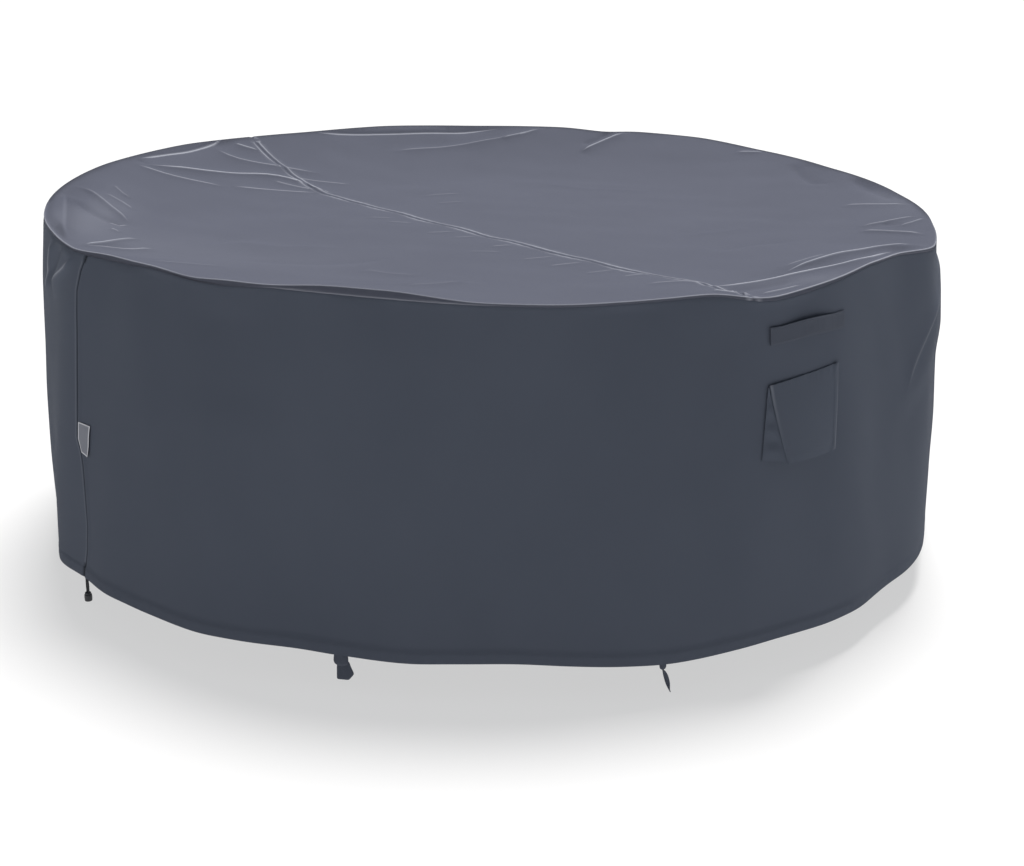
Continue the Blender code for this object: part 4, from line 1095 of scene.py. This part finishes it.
def build_vent():
    share = np.linspace(0.0, 1.0, 61)[:, None]
    across = np.linspace(0.0, 1.0, 65)[None, :]
    angle, height, out = (lerp(a, b, across)
                          for a, b in zip(flap_edge("left", share), flap_edge("right", share)))
    wide, long, hem = VENT["corner_width"], VENT["corner_length"], VENT["hem"]
    out = out + VENT["belly"] * np.sin(math.pi * across) * share
    gathers = np.sin(across * 95.0 + 2.0 * np.sin(across * 31.0)) * np.exp(-share / 0.05)
    out = out + VENT["gather"] * gathers
    out = out + VENT["top_corner"] * hump(across - 0.97 + 0.35 * share, wide) * np.exp(-share / long)
    low_corner = hump(across - 0.90 - 0.6 * (1 - share), wide) * np.exp(-(1 - share) / long)
    out = out + VENT["foot_corner"] * low_corner
    out = out + hem * (smoothstep(-0.08, -0.07, -across) + smoothstep(0.92, 0.93, across))
    outer = on_side(angle, height, out + hem * smoothstep(0.90, 0.91, share))
    # Painted highlights along the flap's folded right edge and near its left edge.
    pale = 0.6 * hump(across - 1.0, 0.012) * (0.3 + 0.7 * share)
    pale = pale + 0.5 * hump(across - 0.02, 0.014) * (1.0 - share) ** 2
    made = grid_sheet("vent_hood", outer, TRIM, CLOTH, pale)
    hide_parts("vent_flap")
    rows = [grid_line(outer, row=row) for row in (1, 55)]
    rows += [grid_line(outer, column=column) for column in (4, 60)]
    stitches("vent_stitches", rows, THREAD)

    for side, start, foot_top, foot_bottom in VENT_GUSSETS:
        share = np.linspace(start, 0.985, 33)[:, None]
        across = np.linspace(0.0, 1.0, 13)[None, :]
        edge_angle, edge_height, edge_out = flap_edge(side, share)
        hems = hem + hem * smoothstep(0.90, 0.91, share)
        edge = on_side(edge_angle, edge_height, edge_out + hems - CLOTH - GAP)
        foot = on_side(lerp(foot_top, foot_bottom, share), edge_height, CLOTH + 2 * GAP + 0 * share)
        reach = np.linalg.norm(edge - foot, axis=-1, keepdims=True)
        grid = foot + (edge - foot) * (1.0 - VENT["clearance"] / reach) * across[..., None]
        sag = VENT["sag"] * np.sin(math.pi * across) * np.sin(share * 24.0)
        grid = grid + grid_normals(grid) * sag[..., None]
        gusset = grid_sheet("vent_side_" + side, grid, TRIM, CLOTH)
        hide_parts("vent_gusset_" + side)


def build_label():
    """The label is sewn into the side's seam along its left edge and lifts a little."""
    label = LABEL
    across = np.linspace(0.0, 1.0, 25)[None, :]
    share = np.linspace(0.0, 1.0, 41)[:, None]
    height = lerp(label["top"], label["bottom"], share) - label["lean"] * across * (share - 0.5)
    left = left_seam_at(down_at(label["right"], height)) + label["inset"]
    angle = lerp(left, label["right"], across)
    out = label["thickness"] + 2 * GAP + label["lift"] * across * (0.4 + 0.6 * share)
    out = out + label["curl"] * np.sin(share * 7.0) * across
    rim = np.minimum(np.minimum(across, 1 - across) * label["width"],
                     np.minimum(share, 1 - share) * label["height"])
    pale = label["border_pale"] * smoothstep(-label["border"], 0.001 - label["border"], -rim)
    made = grid_sheet("side_tag", on_side(angle, height, out), LABEL_CLOTH, label["thickness"], pale)
    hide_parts("side_label")


build_handle()
build_vent()
build_label()

# ---- ties at the hem


def hem_frame(place):
    """Origin and directions of a tie: to the viewer's right, outwards."""
    turn = math.radians(place["angle"])
    outward = Vector((math.cos(turn), math.sin(turn), 0.0))
    right = Vector((-math.sin(turn), math.cos(turn), 0.0))
    return outward * place["radius"] + Vector((0.0, 0.0, HEM_Z)), right, outward


def ring_faces(rings, around, flipped=False):
    """Faces between rings of points, and a cap at each end."""
    faces = []
    for ring in range(0, (rings - 1) * around, around):
        for step in range(around):
            a, b = ring + step, ring + (step + 1) % around
            faces.append((a, a + around, b + around, b) if flipped else (a, b, b + around, a + around))
    caps = [tuple(range(around)), tuple(range((rings - 1) * around, rings * around))]
    reverse = 1 if flipped else 0
    caps[reverse] = caps[reverse][::-1]
    return faces + caps


def build_cord():
    origin, right, _ = hem_frame(CORD)
    toggle = CORD_TOGGLE
    half, wide = toggle["half_height"], toggle["radius"]
    middle = origin + Vector((0.0, 0.0, toggle["top"] - half))
    profile = [(0.0030, half), (0.0052, half - 0.0002), (0.0064, half - 0.0012),
               (0.0068, half - 0.0030), (0.0066, half - 0.0044), (0.0072, half - 0.0050)]
    for level in np.linspace(0.28, 1.0, 15):
        turn = math.pi * (0.5 * level + 0.06) if level < 1 else math.pi * 0.56
        profile.append((wide * (1 - 0.10 * (2 * level - 1.2) ** 2), half - 0.0058
                        - 0.0140 * (level - 0.28) / 0.72 * math.sin(turn) ** 0.1))
    profile.extend([(0.0062, -half + 0.0012), (0.0030, -half)])
    turns = [2 * math.pi * step / toggle["around"] for step in range(toggle["around"])]
    points = [tuple(middle + Vector((radius * math.cos(turn), radius * math.sin(turn), up)))
              for radius, up in profile for turn in turns]
    faces = ring_faces(len(profile), len(turns), flipped=True)
    lock = piece("cord_lock", points, faces, TOGGLE_PLASTIC, 45.0)
    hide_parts("cord_toggle")
    for side, route in (("left", CORD_LEFT_ROUTE), ("right", CORD_RIGHT_ROUTE)):
        curve = bpy.data.curves.new("cord_" + side, "CURVE")
        curve.dimensions = "3D"
        curve.bevel_depth = CORD["diameter"] / 2
        curve.bevel_resolution = 5
        curve.use_fill_caps = True
        spots = [origin + right * across + Vector((0.0, 0.0, up))
                 for across, up in smooth_curve(np.array([route[0], *route, route[-1]]), 9)]
        spline = curve.splines.new("POLY")
        spline.points.add(len(spots) - 1)
        for point, spot in zip(spline.points, spots):
            point.co = (*spot, 1.0)
        made = linked("cord_" + side, curve)
        curve.materials.append(CORD_BLACK)
        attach(made, "root")
        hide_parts("drawcord_strand_" + side)


def soft_plate(name, at, outline, thickness, crown, out, crease):
    """A flat piece with a rounded edge and crowned faces, its outline given as right and up."""
    origin, right, outward = at
    loop = np.vstack([outline, outline[:1]])
    runs = runs_of(loop)
    fine = at_runs(np.linspace(0.0, runs[-1], 73)[:-1], runs, loop)
    weights = (0.15, 0.2, 0.3, 0.2, 0.15)
    fine = sum(np.roll(fine, shift, axis=0) * weight for shift, weight in zip(range(-2, 3), weights))
    middle = fine.mean(axis=0)
    shares = (0.06, 0.3, 0.55, 0.78, 0.92, 0.98)
    rings = [*((-1, share) for share in shares), (0, 1.0), *((1, share) for share in shares[::-1])]
    points = []
    for face, share in rings:
        level = thickness / 2 * math.sqrt(max(0.0, 1 - share ** 16)) + crown * (1 - share ** 2)
        for spot in fine:
            place = middle + (spot - middle) * share
            fold = crease * math.sin(place[0] * 420.0 + place[1] * 160.0) * (1 - share ** 4)
            points.append(tuple(origin + right * place[0] + Vector((0.0, 0.0, place[1]))
                                + outward * (out + face * level + fold)))
    made = piece(name, points, ring_faces(len(rings), len(fine)), WEBBING, 60.0)
    keep_plan(made.data, np.array([(v.co @ right, v.co.z) for v in made.data.vertices]))
    return made


# Outlines of the ties: right and up, in mm.
LOOP_OUTLINE = (
    (-12.5, 18.0), (-16.0, -5.0), (-17.2, -16.0), (-15.0, -22.0), (-10.0, -25.0),
    (0.0, -26.5), (9.0, -24.5), (13.5, -20.0), (13.6, -10.0), (11.0, 18.0),
)
TAIL_OUTLINE = (
    (-12.5, -18.0), (-13.8, -32.0), (-14.6, -60.2), (10.8, -59.2),
    (22.6, -44.5), (16.0, -30.0), (12.0, -18.0), (0.0, -17.0),
)
TAB_OUTLINE = (
    (-7.0, 16.0), (-7.0, -12.0), (-5.5, -16.5), (-0.5, -19.0), (5.0, -17.0), (7.0, -12.0), (5.5, 16.0),
)
TAPE = {"width": 0.0095, "thickness": 0.0015, "steps": 60, "top": -0.0205, "foot": -0.0670,
        "twist": (80.0, -78.0), "start": 0.0015, "aside": 0.0160}


def build_ties():
    for name, node_name, place, outline, *sizes in (
            # then thickness, crown, how far out and height of the creases
            ("tie_loop", "strap_left_loop", STRAP_LEFT, LOOP_OUTLINE, 0.0060, 0.0020, 0.0010, 0.0003),
            ("tie_tail", "strap_left_tail", STRAP_LEFT, TAIL_OUTLINE, 0.0030, 0.0008, -0.0065, 0.0004),
            ("tie_tab", "strap_right_tab", STRAP_RIGHT, TAB_OUTLINE, 0.0050, 0.0008, 0.0, 0.0002)):
        soft_plate(name, hem_frame(place), np.array(outline) / MM, *sizes)
        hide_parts(node_name)

    origin, right, outward = hem_frame(STRAP_RIGHT)
    grid = []
    for share in np.linspace(0.0, 1.0, TAPE["steps"] + 1):
        turn = math.radians(lerp(*TAPE["twist"], share))
        spot = (origin + right * (TAPE["start"] + TAPE["aside"] * share ** 0.9)
                + Vector((0.0, 0.0, lerp(TAPE["top"], TAPE["foot"], share))))
        flat = right * math.cos(turn) + outward * math.sin(turn)
        grid.append([spot + flat * (place * TAPE["width"]) for place in np.linspace(-0.5, 0.5, 9)])
    tape = grid_sheet("tie_tape", np.array(grid), WEBBING, TAPE["thickness"])
    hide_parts("strap_right_tie")


build_cord()
build_ties()

# ---- floor and light

FLOOR_Z, FLOOR_REACH = -0.718, 400.0


def add_floor():
    mesh = bpy.data.meshes.new("floor")
    corners = [(x * FLOOR_REACH, y * FLOOR_REACH, FLOOR_Z) for x, y in ((-1, -1), (1, -1), (1, 1), (-1, 1))]
    mesh.from_pydata(corners, [], [(0, 1, 2, 3)])
    made = linked("floor", mesh)
    pale, tree, shader = new_material("floor", 0.9)
    fill_named(tree, shader, {"Base Color": (0.28, 0.28, 0.28), "Emission Color": (1.0, 1.0, 1.0),
                              "Emission Strength": 0.58})
    mesh.materials.append(pale)


def add_sun():
    data = bpy.data.lights.new("key", "SUN")
    data.energy = 5.2
    data.color = (1.0, 0.985, 0.97)
    data.angle = math.radians(22.0)
    made = linked("key", data)
    made.location = (0.45, 1.6, 4.0)
    made.rotation_euler = (-made.location).to_track_quat("-Z", "Y").to_euler()


def add_studio():
    """Dim bluish light from all round, in front of a backdrop as pale as the floor."""
    world = bpy.data.worlds.new("studio")
    world.use_nodes = True
    tree = world.node_tree
    light, backdrop = tree.nodes["Background"], node(tree, "ShaderNodeBackground")
    fill(tree, light.inputs, ((0.86, 0.92, 1.0), 0.20))
    fill(tree, backdrop.inputs, ((1.0, 1.0, 1.0), 1.0))
    mixed = node(tree, "ShaderNodeMixShader")
    seen = node(tree, "ShaderNodeLightPath").outputs["Is Camera Ray"]
    fill(tree, mixed.inputs, (seen, light.outputs[0], backdrop.outputs[0]))
    tree.links.new(mixed.outputs[0], tree.nodes["World Output"].inputs["Surface"])
    bpy.context.scene.world = world


add_floor()
add_sun()
add_studio()
bpy.context.scene.view_settings.view_transform = "Standard"
